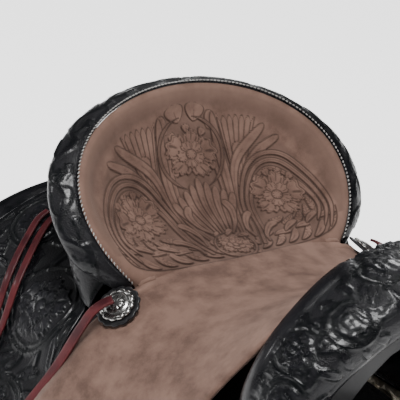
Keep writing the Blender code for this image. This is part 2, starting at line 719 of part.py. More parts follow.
def make_strings():
    routes = {"seat_string": SEAT_STRING, "cantle_string_front": FRONT_CANTLE_STRING,
              "cantle_string_rear": REAR_CANTLE_STRING}
    for word, side in SIDES.items():
        for name, route in routes.items():
            points = [(x, y * side, z) for x, y, z in smooth_path(route, 2)]
            tube(f"{name}_{word}", points, STRING_RADIUS, BURGUNDY)


def flat_plate(name, frame, look):
    """Rigging plate: rounded D outline with a strap slot near its lower edge."""
    curve = bpy.data.curves.new(name, "CURVE")
    curve.dimensions = "2D"
    curve.fill_mode = "BOTH"
    curve.extrude = 0.0012
    outer = smooth_path([(-0.040, -0.030), (0.0, -0.034), (0.040, -0.030), (0.046, 0.0),
                         (0.036, 0.036), (0.0, 0.042), (-0.036, 0.036), (-0.046, 0.0)], 3, closed=True)
    slot = [(-0.0265, 0.0175), (-0.0265, 0.0265), (0.0265, 0.0265), (0.0265, 0.0175)]
    for points in (outer, slot):
        spline = curve.splines.new("POLY")
        spline.points.add(len(points) - 1)
        for point, place in zip(spline.points, points):
            point.co = (place[0], place[1], 0, 1)
        spline.use_cyclic_u = True
    draft = bpy.data.objects.new(name + "_draft", curve)
    bpy.data.collections[COLLECTION].objects.link(draft)
    bpy.context.view_layer.update()
    shape = draft.evaluated_get(bpy.context.evaluated_depsgraph_get())
    bm = bmesh.new()
    flat = bpy.data.meshes.new_from_object(shape)
    bm.from_mesh(flat)
    bpy.data.objects.remove(draft)
    bpy.data.meshes.remove(flat)
    bmesh.ops.remove_doubles(bm, verts=bm.verts, dist=1e-5)
    bmesh.ops.transform(bm, matrix=frame, verts=bm.verts)
    return add_object(name, mesh_from(bm, name), look)


def plate_frame(x, side):
    """Frame of a rigging plate: local X forward, local Y down the side, local Z outwards."""
    origin = on_back(x, PLATE_GIRTH, SKIRT[1] + HARDWARE_GAP, side)
    forward = Vector((1, 0, 0))
    down = (on_back(x, PLATE_GIRTH + 0.01, 0.0, side) - on_back(x, PLATE_GIRTH - 0.01, 0.0, side))
    down.normalize()
    frame = Matrix((forward, down, forward.cross(down) * side)).transposed().to_4x4()
    frame.translation = origin
    return frame


def plate_strap(name, x, width, drop, side, look):
    """A strap looped over the plate's lower bar, its two tails hanging straight down."""
    frame = plate_frame(x, 1)
    loop = [(0.050, -0.0042), (0.034, -0.0040), (0.0265, -0.0036), (0.0226, -0.0014),
            (0.0226, 0.0014), (0.0265, 0.0036), (0.034, 0.0040), (0.048, 0.0044)]
    turns = [frame @ Vector((0, along, off)) for along, off in loop]
    path = [(turns[0].y, turns[0].z - 0.040)]
    path += [(p.y, p.z) for p in turns]
    path += [(turns[-1].y + 0.0015, turns[-1].z - fall) for fall in (0.030, drop * 0.5, drop)]
    path = smooth_path(path, 2)
    length = path_normals(path)[0][-1]
    strap_panel(name, strap_outline(x, width, length), path, STRAP_LIGHT, look, side)


def make_rigging():
    for word, side in SIDES.items():
        flat_plate(f"front_rigging_plate_{word}", plate_frame(FRONT_PLATE_X, side), STEEL)
        flat_plate(f"rear_rigging_plate_{word}", plate_frame(REAR_PLATE_X, side), STEEL)
        plate_strap(f"flank_billet_{word}", REAR_PLATE_X, BILLET_WIDTH, 0.215, side, PLAIN)
    plate_strap("latigo_left", FRONT_PLATE_X, BILLET_WIDTH, 0.200, 1, PLAIN)
    plate_strap("off_billet_right", FRONT_PLATE_X, BILLET_WIDTH, 0.200, -1, PLAIN)


def make_collar_dees():
    """Breast collar dees, flat on the skirt ahead of the front jockey."""
    ring = [(-0.016, -0.012), (-0.016, 0.012), (-0.008, 0.020), (0.006, 0.021),
            (0.017, 0.013), (0.020, 0.0), (0.017, -0.013), (0.006, -0.021), (-0.008, -0.020)]
    for word, side in SIDES.items():
        frame = back_frame(0.316, 0.318, SKIRT[1] + HARDWARE_GAP, side)
        points = [frame @ Vector((x, y, 0)) for x, y in smooth_path(ring, 2, closed=True)]
        tube(f"breast_collar_dee_{word}", points, 0.0025, STEEL, closed=True)


# --- fenders and stirrups ---------------------------------------------------
def hanging_path():
    """Inner face of the fender: out from under the flap, then straight down."""
    path = [tuple(on_back(0.0, s, d, 1).yz) for s, d in
            ((FENDER_TOP, 0.0285), (0.330, 0.0310), (0.360, 0.0375), (0.390, 0.0455))]
    path += [(HANG_Y - 0.0008, -0.262), (HANG_Y, -0.320), (HANG_Y, -0.420), (HANG_Y, FENDER_BOTTOM)]
    return smooth_path(path, 2)


def make_fenders():
    path = hanging_path()
    length = path_normals(path)[0][-1]
    half = [(0.036, 0.0), (0.040, 0.060), (0.052, 0.105), (0.082, 0.150), (0.098, 0.195),
            (0.100, 0.240), (0.086, 0.290), (0.058, 0.335), (0.040, 0.370), (0.037, length)]
    right = smooth_path([(FENDER_X + w, t) for w, t in half], 2)
    left = [(2 * FENDER_X - x, t) for x, t in reversed(right)]
    for word, side in SIDES.items():
        strap_panel(f"fender_{word}", right + left, path, STRAP, BLACK, side)


def leather_path():
    """Stirrup leather: behind the fender, round the bolt and back up."""
    y = HANG_Y - 0.0018
    turn = BOLT_RADIUS + STRAP + 0.0006
    down = [(y - 0.0040, -0.330), (y - 0.0036, FENDER_BOTTOM + 0.02), (y - 0.0022, FENDER_BOTTOM - 0.012)]
    centre = y + turn * 0.35
    loop = [(centre - turn * cos(a), BOLT_Z - turn * sin(a))
            for a in (-0.35, 0.3, 0.95, 1.57, 2.2, 2.85, 3.5)]
    back = [(centre + turn * 0.35, BOLT_Z + 0.030), (y + 0.0035, BOLT_Z + 0.060)]
    return smooth_path(down + loop + back, 2), centre


def make_stirrup_leathers():
    path, centre = leather_path()
    length = path_normals(path)[0][-1]
    half = 0.033
    outline = [(FENDER_X - half, 0), (FENDER_X + half, 0), (FENDER_X + half, length),
               (FENDER_X - half, length)]
    for word, side in SIDES.items():
        strap_panel(f"stirrup_leather_{word}", outline, path, STRAP, PLAIN, side)
        frame = Matrix.Translation((FENDER_X, side * centre, BOLT_Z)) @ Matrix.Rotation(pi / 2, 4, "Y")
        half_bolt = STIRRUP_TOP - 0.0016
        turned(f"stirrup_bolt_{word}", [(0.0, -half_bolt), (BOLT_RADIUS, -half_bolt),
                                        (BOLT_RADIUS, half_bolt), (0.0, half_bolt)], frame, STEEL, 16)
    return centre


def make_hobble_straps():
    """Strap that binds both runs of the stirrup leather above the bolt."""
    y = HANG_Y - 0.0018
    z = BOLT_Z + 0.0435
    for word, side in SIDES.items():
        bm = bmesh.new()
        bmesh.ops.create_cube(bm, size=1)
        bmesh.ops.delete(bm, geom=[f for f in bm.faces if abs(f.normal.z) > 0.9], context="FACES_ONLY")
        bmesh.ops.scale(bm, verts=bm.verts, vec=(0.0672, 0.0172, 0.024))
        bmesh.ops.translate(bm, verts=bm.verts, vec=(FENDER_X, side * (y + 0.0022), z))
        bmesh.ops.recalc_face_normals(bm, faces=bm.faces)
        bmesh.ops.solidify(bm, geom=bm.faces[:], thickness=-0.0026)
        add_object(f"hobble_strap_{word}", mesh_from(bm, f"hobble_strap_{word}"), PLAIN)


def stirrup_path():
    """Inner face of the stirrup in (x, z) from the bolt's rear end round to its front end."""
    half = STIRRUP_WIDTH / 2
    right = [(STIRRUP_TOP, 0.016), (STIRRUP_TOP, -0.014), (STIRRUP_TOP + 0.010, -0.045),
             (half - 0.006, -0.085), (half, -0.118), (half - 0.010, -STIRRUP_DROP + 0.010), (half - 0.030, -STIRRUP_DROP),
             (0.0, -STIRRUP_DROP)]
    left = [(-x, z) for x, z in right[:-1]]
    return smooth_path(left + [right[-1]] + right[-2::-1], 2)


def make_stirrups(centre):
    path = stirrup_path()
    total = path_normals(path)[0][-1]
    half = [(0.0, 0.015), (0.030, 0.017), (0.075, 0.022), (0.120, 0.033), (0.155, 0.040), (total / 2, 0.040)]
    lower = smooth_path(half, 2)
    lower += [(total - t, w) for t, w in reversed(lower[:-1])]
    outline = lower + [(t, -w) for t, w in reversed(lower)]
    for word, side in SIDES.items():
        bm = bent_slab(outline, path, STIRRUP_THICK, 0)

        def place(along, w, d):
            x, z = along_path(path, along, -d)
            return Vector((FENDER_X + x, side * centre + w, BOLT_Z + z))

        wrapped(f"stirrup_{word}", bm, place, WOOD)
        bm = bmesh.new()
        bmesh.ops.create_cube(bm, size=1)
        bmesh.ops.scale(bm, verts=bm.verts, vec=(0.066, 0.074, 0.004))
        bmesh.ops.translate(bm, verts=bm.verts, vec=(FENDER_X, side * centre, BOLT_Z - STIRRUP_DROP + 0.0024))
        bmesh.ops.bevel(bm, geom=bm.edges[:], offset=0.0012, segments=1, profile=0.5, affect="EDGES")
        add_object(f"stirrup_tread_{word}", mesh_from(bm, f"stirrup_tread_{word}"), PLAIN)


# --- assembly ---------------------------------------------------------------
def clear_scene():
    for item in list(bpy.data.objects):
        bpy.data.objects.remove(item)
    collection = bpy.data.collections.new(COLLECTION)
    bpy.context.scene.collection.children.link(collection)


def build():
    clear_scene()
    make_bars()
    make_tree_cantle()
    make_ground_seat()
    make_fork()
    make_fork_cover()
    make_horn()
    make_seat()
    make_roll()
    make_cantle_back()
    make_jockeys()
    make_skirts()
    make_conchos()
    make_strings()
    make_rigging()
    make_collar_dees()
    make_fenders()
    make_stirrups(make_stirrup_leathers())
    make_hobble_straps()


build()
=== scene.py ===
# Western saddle: the looks of its leather, fleece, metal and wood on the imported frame.
# Metres; +X towards the horse's head, +Y its left, +Z up; the origin is the crown of its back.
import json
import math

import bmesh
import bpy
import numpy as np
from mathutils import Matrix, Vector, noise


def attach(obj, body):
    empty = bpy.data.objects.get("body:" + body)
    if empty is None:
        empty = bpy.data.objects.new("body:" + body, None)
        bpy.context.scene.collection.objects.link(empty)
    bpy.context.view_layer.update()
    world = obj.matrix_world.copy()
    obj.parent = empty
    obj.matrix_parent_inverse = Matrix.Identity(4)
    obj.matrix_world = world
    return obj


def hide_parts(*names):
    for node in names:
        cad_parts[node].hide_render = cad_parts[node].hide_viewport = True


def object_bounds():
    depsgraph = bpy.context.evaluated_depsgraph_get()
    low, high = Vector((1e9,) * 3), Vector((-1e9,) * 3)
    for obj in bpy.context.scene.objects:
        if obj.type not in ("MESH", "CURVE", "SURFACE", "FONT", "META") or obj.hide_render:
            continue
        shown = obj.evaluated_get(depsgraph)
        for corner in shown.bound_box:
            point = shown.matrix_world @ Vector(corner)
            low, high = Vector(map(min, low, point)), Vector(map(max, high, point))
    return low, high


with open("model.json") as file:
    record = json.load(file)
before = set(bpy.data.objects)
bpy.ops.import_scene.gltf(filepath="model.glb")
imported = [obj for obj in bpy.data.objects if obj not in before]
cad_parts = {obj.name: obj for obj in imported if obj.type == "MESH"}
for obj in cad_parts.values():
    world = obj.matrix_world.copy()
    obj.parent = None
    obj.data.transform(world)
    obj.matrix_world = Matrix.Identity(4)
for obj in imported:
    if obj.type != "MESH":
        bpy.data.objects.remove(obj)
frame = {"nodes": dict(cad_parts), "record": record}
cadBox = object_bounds()
sides = {"left": 1, "right": -1}
print("frame loaded:", len(frame["nodes"]), "nodes")


back = {"maxSlope": math.radians(84), "slopeLength": 0.25, "slopePower": 1.3, "rocker": 0.25}
layer = {"skirtTop": 0.0195, "jockeyLow": 0.0245, "jockeyHigh": 0.0430,
         "jockeyThick": 0.0036, "seatFlap": 0.0345, "fenderBulge": 0.0105}
rim = {"bindX": -0.030, "bindY": 0.127, "bindZ": 0.035, "halfWidth": 0.1602, "run": 0.1462, "rise": 0.1374,
       "end": 2.2251, "runPower": 1.0364, "risePower": 0.8359}
seatLines = {
    "crest": [(-0.1762, 0.1724), (-0.168, 0.158), (-0.150, 0.125), (-0.128, 0.091), (-0.100, 0.065),
              (-0.060, 0.052), (-0.010, 0.0495), (0.040, 0.054), (0.090, 0.073), (0.135, 0.107),
              (0.170, 0.138)],
    "edge": [(-0.06, 0.035), (-0.03, 0.035), (0.040, 0.034), (0.100, 0.050), (0.170, 0.090)],
    "shoulder": [(-0.06, 0.001), (-0.03, 0.001), (0.040, 0.003), (0.100, 0.012), (0.170, 0.032)],
    "flapRun": (0.064, 0.134, 0.184, 0.229), "flapGirth": (0.24, 0.29, 0.335), "shoulderY": 0.179}
fork = {"rear": 0.173, "sweep": 0.020, "halfWidth": 0.163,
        "arch": [(0.0, 0.169), (0.040, 0.165), (0.080, 0.151), (0.115, 0.1287), (0.140, 0.107),
                 (0.157, 0.083), (0.165, 0.058), (0.160, 0.030)],
        "gullet": [(0.0, 0.116), (0.026, 0.112), (0.050, 0.101), (0.070, 0.084), (0.084, 0.067),
                   (0.093, 0.055), (0.100, 0.047), (0.104, 0.041)]}


def smoothStep(t):
    t = np.clip(t, 0, 1)
    return t * t * (3 - 2 * t)


def throughKnots(knots, x):
    # smooth curve through (place, value) knots, held level past its ends
    x = np.asarray(x, float)
    places = np.array([k[0] for k in knots], float)
    values = np.stack([np.broadcast_to(np.asarray(k[1], float), x.shape) for k in knots])
    slopes = np.empty_like(values)
    for k in range(len(places)):
        a, b = max(k - 1, 0), min(k + 1, len(places) - 1)
        slopes[k] = (values[b] - values[a]) / (places[b] - places[a])
    x = np.clip(x, places[0], places[-1])
    i = np.clip(np.searchsorted(places, x, side="right") - 1, 0, len(places) - 2)
    width = (places[1:] - places[:-1])[i]
    t = (x - places[i]) / width
    pick = lambda table, k: np.take_along_axis(table, k[None], 0)[0]
    low, high = pick(values, i), pick(values, i + 1)
    rise = high - low
    bendA = pick(slopes, i) * width - rise
    bendB = rise - pick(slopes, i + 1) * width
    return low + rise * t + t * (1 - t) * ((1 - t) * bendA + t * bendB)


girthStep = 0.001
girth = np.arange(0, 0.640, girthStep)


def backSlope(s):
    return back["maxSlope"] * (1 - np.exp(-(np.maximum(s, 0) / back["slopeLength"]) ** back["slopePower"]))


backY = np.concatenate([[0], np.cumsum(np.cos(backSlope(girth[:-1] + girthStep / 2)) * girthStep)])
backZ = -np.concatenate([[0], np.cumsum(np.sin(backSlope(girth[:-1] + girthStep / 2)) * girthStep)])


def onBack(x, s, d, side):
    # a point d above the horse's back, s round its girth from the crown
    lean = backSlope(s)
    y = np.interp(s, girth, backY) + d * np.sin(lean)
    z = np.interp(s, girth, backZ) + d * np.cos(lean) + back["rocker"] * x * x
    return np.stack(np.broadcast_arrays(x, side * y, z), axis=-1)


def jockeyLift(x, s):
    # the jockeys rise where they lie over the tree bars
    overBar = smoothStep((0.222 - s) / 0.06) * smoothStep((x + 0.300) / 0.09)
    return layer["jockeyLow"] + (layer["jockeyHigh"] - layer["jockeyLow"]) * overBar


def jockeyTop(x, s):
    return jockeyLift(x, s) + layer["jockeyThick"]


def rimPoint(angle):
    # the cantle's rim; angle 0 is its top, and rim end is where it meets the seat's binding
    part = np.maximum((np.cos(angle) - math.cos(rim["end"])) / (1 - math.cos(rim["end"])), 0)
    return np.stack([rim["bindX"] - rim["run"] * part ** rim["runPower"], rim["halfWidth"] * np.sin(angle),
                     rim["bindZ"] + rim["rise"] * part ** rim["risePower"]], axis=-1)


def rimAt(x):
    # half width and height of the rim's plane at x
    part = np.clip((rim["bindX"] - x) / rim["run"], 0, 1) ** (1 / rim["runPower"])
    turn = math.cos(rim["end"]) + part * (1 - math.cos(rim["end"]))
    width = rim["halfWidth"] * np.sqrt(np.maximum(1 - turn * turn, 0))
    return width, rim["bindZ"] + rim["rise"] * part ** rim["risePower"]


def seatTop(x, w):
    # the seat's upper face at x and a width measured over it: dish, middle and flaps
    width = np.abs(w)
    rimWidth, rimHeight = rimAt(x)
    crest = throughKnots(seatLines["crest"], x)
    power = 2.4 + 0.8 * smoothStep((rim["bindX"] - x) / 0.06)
    dishZ = crest + (rimHeight - crest) * np.minimum(1, width / np.maximum(rimWidth, 0.002)) ** power
    fx = np.maximum(x, rim["bindX"])
    crest = throughKnots(seatLines["crest"], fx)
    edge = throughKnots(seatLines["edge"], fx)
    middleZ = crest + (edge - crest) * (np.minimum(width, rim["bindY"]) / rim["bindY"]) ** 2.4
    bulge = smoothStep((0.115 - np.abs(fx - 0.060)) / 0.055)
    flap = [onBack(fx, np.full_like(fx, s), layer["seatFlap"] + layer["fenderBulge"] * bulge, 1)
            for s in seatLines["flapGirth"]]
    runs = (0.0,) + seatLines["flapRun"]
    ys = [rim["bindY"], seatLines["shoulderY"]] + [f[..., 1] for f in flap]
    zs = [edge, throughKnots(seatLines["shoulder"], fx)] + [f[..., 2] for f in flap]
    flapY = throughKnots(list(zip(runs, ys)), width - rim["bindY"])
    flapZ = throughKnots(list(zip(runs, zs)), width - rim["bindY"])
    inFlap = width > rim["bindY"]
    y = np.where(inFlap, flapY, width)
    z = np.where(inFlap, flapZ, middleZ)
    inDish = (x < rim["bindX"]) & (width < rimWidth + 0.004)
    y = np.where(inDish, width, y)
    z = np.where(inDish, dishZ, z)
    return np.stack([x, np.where(w < 0, -y, y), z], axis=-1)


def forkPoint(along, turn, depth):
    # the fork's outside at turn -1 to 1 over its arch, depth in towards the gullet
    size = len(fork["arch"]) - 1
    spot = np.abs(turn) * size
    y, z = (throughKnots([(i, p[k]) for i, p in enumerate(fork["arch"])], spot) for k in (0, 1))
    gy, gz = (throughKnots([(i, p[k]) for i, p in enumerate(fork["gullet"])], spot) for k in (0, 1))
    run = np.hypot(gy - y, gz - z)
    share = depth / run
    x = fork["rear"] + fork["sweep"] * (y / fork["halfWidth"]) ** 2 + along
    y = y + (gy - y) * share
    return np.stack([x, np.where(turn < 0, -y, y), z + (gz - z) * share], axis=-1)


# the camera stands ahead of the saddle on its right and looks down into the seat
camera = {"target": (-0.0175, -0.0737, 0.1263), "distance": 1.5, "azimuth": 52.53, "elevation": 26.05,
          "roll": 8.0, "lens": 143.17}


def makeCamera(setup):
    azimuth, elevation, roll = (math.radians(setup[k]) for k in ("azimuth", "elevation", "roll"))
    away = Vector((math.sin(azimuth) * math.cos(elevation), -math.cos(azimuth) * math.cos(elevation),
                   math.sin(elevation)))
    level = Vector((math.cos(azimuth), math.sin(azimuth), 0))
    right = level * math.cos(roll) + away.cross(level) * math.sin(roll)
    turn = Matrix((right, away.cross(right), away)).transposed().to_4x4()
    made = bpy.data.objects.new("camera", bpy.data.cameras.new("camera"))
    bpy.context.collection.objects.link(made)
    made.matrix_world = Matrix.Translation(Vector(setup["target"]) + away * setup["distance"]) @ turn
    made.data.lens = setup["lens"]
    made.data.clip_start = 0.05
    bpy.context.scene.camera = made


# materials
def newGroup(name, inputs, outputs):
    tree = bpy.data.node_groups.new(name, "ShaderNodeTree")
    for label, kind, value in inputs:
        socket = tree.interface.new_socket(label, in_out="INPUT", socket_type=kind)
        if value is not None:
            socket.default_value = value
    for label, kind in outputs:
        tree.interface.new_socket(label, in_out="OUTPUT", socket_type=kind)
    return tree, tree.nodes.new("NodeGroupInput"), tree.nodes.new("NodeGroupOutput")


def addNode(tree, kind, inputs=None, **settings):
    # a node with its settings; inputs are values or sockets to link
    node = tree.nodes.new(kind)
    for key, value in settings.items():
        setattr(node, key, value)
    for key, value in (inputs or {}).items():
        if isinstance(value, bpy.types.NodeSocket):
            tree.links.new(value, node.inputs[key])
        else:
            node.inputs[key].default_value = value
    return node


def mathOf(tree, operation, a, b=0.0, clamp=False):
    return addNode(tree, "ShaderNodeMath", {0: a, 1: b}, operation=operation, use_clamp=clamp).outputs[0]


def mixColour(tree, share, a, b):
    return addNode(tree, "ShaderNodeMix", {"Factor": share, 6: a, 7: b}, data_type="RGBA").outputs[2]


def spread(tree, value, low, high, toLow=0.0, toHigh=1.0):
    return addNode(tree, "ShaderNodeMapRange", {0: value, 1: low, 2: high, 3: toLow, 4: toHigh}).outputs[0]


def attribute(tree, name):
    return addNode(tree, "ShaderNodeAttribute", attribute_name=name).outputs["Fac"]


def noiseOf(tree, where, scale, detail=4.0, rough=0.55, stretch=None):
    if stretch:
        where = addNode(tree, "ShaderNodeMapping", {0: where, 3: stretch}).outputs[0]
    return addNode(tree, "ShaderNodeTexNoise", {0: where, "Scale": scale, "Detail": detail,
                                                "Roughness": rough}).outputs["Fac"]


def buildGrain():
    # leather grain: cell pattern with fine pores, and a slow change of tone over the hide
    tree, into, out = newGroup("leatherGrain",
                               [("Where", "NodeSocketVector", None), ("Scale", "NodeSocketFloat", 700.0)],
                               [("Height", "NodeSocketFloat"), ("Tone", "NodeSocketFloat")])
    where, scale = into.outputs["Where"], into.outputs["Scale"]
    cells = addNode(tree, "ShaderNodeTexVoronoi", {"Vector": where, "Scale": scale},
                    feature="DISTANCE_TO_EDGE")
    fine, broad = (mathOf(tree, "MULTIPLY", scale, share) for share in (2.3, 0.05))
    pores = addNode(tree, "ShaderNodeTexNoise", {"Vector": where, "Scale": fine, "Detail": 3.0})
    slow = addNode(tree, "ShaderNodeTexNoise", {"Vector": where, "Scale": broad, "Detail": 5.0})
    creased = spread(tree, cells.outputs["Distance"], 0.0, 0.12)
    tree.links.new(mathOf(tree, "ADD", mathOf(tree, "MULTIPLY", creased, 0.7),
                          mathOf(tree, "MULTIPLY", pores.outputs["Fac"], 0.5)), out.inputs["Height"])
    tree.links.new(slow.outputs["Fac"], out.inputs["Tone"])
    return tree


def buildScuff():
    # light scuffs: long thin noise, strongest where it crosses a broad patch
    tree, into, out = newGroup("lightScuffs",
                               [("Where", "NodeSocketVector", None), ("Scale", "NodeSocketFloat", 60.0)],
                               [("Mask", "NodeSocketFloat")])
    stretched = addNode(tree, "ShaderNodeMapping", {0: into.outputs["Where"], 3: (1.0, 0.2, 0.35)}).outputs[0]
    fine = mathOf(tree, "MULTIPLY", into.outputs["Scale"], 4.0)
    lines = addNode(tree, "ShaderNodeTexNoise", {0: stretched, "Scale": fine, "Detail": 6.0})
    patch = addNode(tree, "ShaderNodeTexNoise", {0: into.outputs["Where"], "Scale": into.outputs["Scale"]})
    both = mathOf(tree, "MULTIPLY", spread(tree, lines.outputs["Fac"], 0.56, 0.72),
                  spread(tree, patch.outputs["Fac"], 0.45, 0.65))
    tree.links.new(both, out.inputs["Mask"])
    return tree


grainGroup = buildGrain()
scuffGroup = buildScuff()


def newMaterial(name, **sockets):
    material = bpy.data.materials.new(name)
    material.use_nodes = True
    tree = material.node_tree
    shader = tree.nodes["Principled BSDF"]
    for key, value in sockets.items():
        shader.inputs[key.replace("_", " ")].default_value = value
    where = addNode(tree, "ShaderNodeTexCoord").outputs["Object"]
    return material, tree, shader, where


def addBump(tree, shader, height, distance, strength=1.0):
    bump = addNode(tree, "ShaderNodeBump", {"Height": height, "Distance": distance, "Strength": strength})
    tree.links.new(bump.outputs[0], shader.inputs["Normal"])


def makeRoughout(look):
    # brown roughout: mottled nap, a painted highlight on raised tops and the padded rim, dark in the cuts
    material, tree, shader, where = newMaterial(look["name"], Roughness=0.92, Sheen_Weight=0.12,
                                                Sheen_Roughness=0.5, Sheen_Tint=look["sheen"],
                                                Specular_IOR_Level=0.2)
    broad = noiseOf(tree, where, 11.0, 5.0, 0.6)
    patch = noiseOf(tree, where, 46.0, 6.0, 0.65)
    nap = noiseOf(tree, where, 1300.0, 3.0, 0.7)
    brushed = noiseOf(tree, where, 210.0, 4.0, 0.6, (1.0, 0.45, 0.7))
    tone = mathOf(tree, "ADD", mathOf(tree, "MULTIPLY", broad, 0.45), mathOf(tree, "MULTIPLY", patch, 0.55))
    colour = mixColour(tree, spread(tree, tone, 0.40, 0.60), look["dark"], look["light"])
    colour = mixColour(tree, mathOf(tree, "MULTIPLY", spread(tree, nap, 0.35, 0.7), 0.30), colour,
                       look["nap"])
    # painted highlight: lighter colour on raised tops and the padded rim
    colour = mixColour(tree, mathOf(tree, "MULTIPLY", attribute(tree, "pale"), 0.55), colour, look["pale"])
    # the ground colour darkens the stippled background, and where the seat's dish wall is marked it is
    # painted shade
    colour = mixColour(tree, mathOf(tree, "MULTIPLY", attribute(tree, "ground"), 0.45), colour,
                       look["ground"])
    colour = mixColour(tree, mathOf(tree, "MULTIPLY", attribute(tree, "ink"), 0.86), colour, look["ink"])
    tree.links.new(colour, shader.inputs["Base Color"])
    fuzz = mathOf(tree, "ADD", mathOf(tree, "MULTIPLY", nap, 0.6), mathOf(tree, "MULTIPLY", brushed, 0.8))
    addBump(tree, shader, fuzz, 0.0006, 0.9)
    return material


def makeLeather(look):
    # dyed leather: grain, slow tone, darker cuts, matt stippled background, lighter scuffs and a painted
    # highlight on raised tops
    material, tree, shader, where = newMaterial(look["name"], Coat_Weight=look["coat"], Coat_Roughness=0.16,
                                                Specular_IOR_Level=0.22)
    grain = addNode(tree, "ShaderNodeGroup", {"Where": where, "Scale": look["grain"]}, node_tree=grainGroup)
    scuff = addNode(tree, "ShaderNodeGroup", {"Where": where, "Scale": 55.0}, node_tree=scuffGroup)
    colour = mixColour(tree, spread(tree, grain.outputs["Tone"], 0.35, 0.65), look["dark"], look["light"])
    # painted highlight: raised tops are lightened towards the leather's lighter colour, which the scuffs
    # share
    colour = mixColour(tree, mathOf(tree, "MULTIPLY", attribute(tree, "pale"), 0.5), colour,
                       look["rubbed"])
    colour = mixColour(tree, mathOf(tree, "MULTIPLY", scuff.outputs["Mask"], 0.35), colour, look["rubbed"])
    colour = mixColour(tree, attribute(tree, "ink"), colour, look["ink"])
    tree.links.new(colour, shader.inputs["Base Color"])
    matt = mathOf(tree, "MULTIPLY", attribute(tree, "ground"), 0.22)
    rough = spread(tree, grain.outputs["Tone"], 0.3, 0.7, look["rough"] - 0.05, look["rough"] + 0.07)
    rough = mathOf(tree, "ADD", rough, matt)
    rough = mathOf(tree, "ADD", rough, mathOf(tree, "MULTIPLY", scuff.outputs["Mask"], 0.12), True)
    tree.links.new(rough, shader.inputs["Roughness"])
    stipple = addNode(tree, "ShaderNodeTexVoronoi", {"Vector": where, "Scale": 620.0})
    pitted = mathOf(tree, "MULTIPLY", attribute(tree, "ground"), stipple.outputs["Distance"])
    height = mathOf(tree, "ADD", mathOf(tree, "MULTIPLY", grain.outputs["Height"], 0.16), pitted)
    addBump(tree, shader, height, 0.0005, 0.7)
    return material


def makeMetal(look):
    material, tree, shader, where = newMaterial(look["name"], Metallic=1.0)
    tone = noiseOf(tree, where, 90.0, 5.0)
    fine = noiseOf(tree, where, 900.0, 3.0, 0.6, look["brush"])
    colour = mixColour(tree, spread(tree, tone, 0.3, 0.7), look["dark"], look["light"])
    colour = mixColour(tree, attribute(tree, "ink"), colour, look["ink"])
    tree.links.new(colour, shader.inputs["Base Color"])
    tree.links.new(spread(tree, fine, 0.25, 0.75, look["rough"] - 0.07, look["rough"] + 0.10),
                   shader.inputs["Roughness"])
    addBump(tree, shader, fine, 0.00012, 0.5)
    return material


def makeWood(look):
    material, tree, shader, where = newMaterial(look["name"], Coat_Weight=0.2, Coat_Roughness=0.3)
    bend = noiseOf(tree, where, 7.0, 3.0)
    rings = addNode(tree, "ShaderNodeTexWave", {0: where, "Scale": 26.0, "Distortion": 5.0, "Detail": 3.0},
                    bands_direction="Y")
    fibre = noiseOf(tree, where, 420.0, 4.0, 0.6, (0.08, 1.0, 1.0))
    share = mathOf(tree, "ADD", mathOf(tree, "MULTIPLY", rings.outputs["Fac"], 0.6),
                   mathOf(tree, "MULTIPLY", fibre, 0.5))
    colour = mixColour(tree, mathOf(tree, "MULTIPLY", share, bend, True), look["light"], look["dark"])
    tree.links.new(colour, shader.inputs["Base Color"])
    tree.links.new(spread(tree, fibre, 0.3, 0.7, 0.38, 0.62), shader.inputs["Roughness"])
    addBump(tree, shader, share, 0.0003, 0.5)
    return material


def makeFleece(look):
    material, tree, shader, where = newMaterial(look["name"], Roughness=0.95, Sheen_Weight=0.6,
                                                Sheen_Roughness=0.5, Sheen_Tint=(1.0, 0.96, 0.88, 1.0))
    curls = noiseOf(tree, where, 190.0, 6.0, 0.7)
    locks = addNode(tree, "ShaderNodeTexVoronoi", {"Vector": where, "Scale": 120.0, "Randomness": 1.0})
    soil = noiseOf(tree, where, 9.0, 4.0)
    depth = mathOf(tree, "ADD", mathOf(tree, "MULTIPLY", curls, 0.7),
                   mathOf(tree, "MULTIPLY", locks.outputs["Distance"], 0.5))
    # painted shade: the wool is darker where its bump sits low, between the curls and locks
    colour = mixColour(tree, spread(tree, depth, 0.3, 0.8), look["light"], look["dark"])
    colour = mixColour(tree, mathOf(tree, "MULTIPLY", spread(tree, soil, 0.45, 0.75), 0.35), colour,
                       look["soil"])
    tree.links.new(colour, shader.inputs["Base Color"])
    addBump(tree, shader, mathOf(tree, "SUBTRACT", 1.0, depth), 0.004, 1.0)
    return material


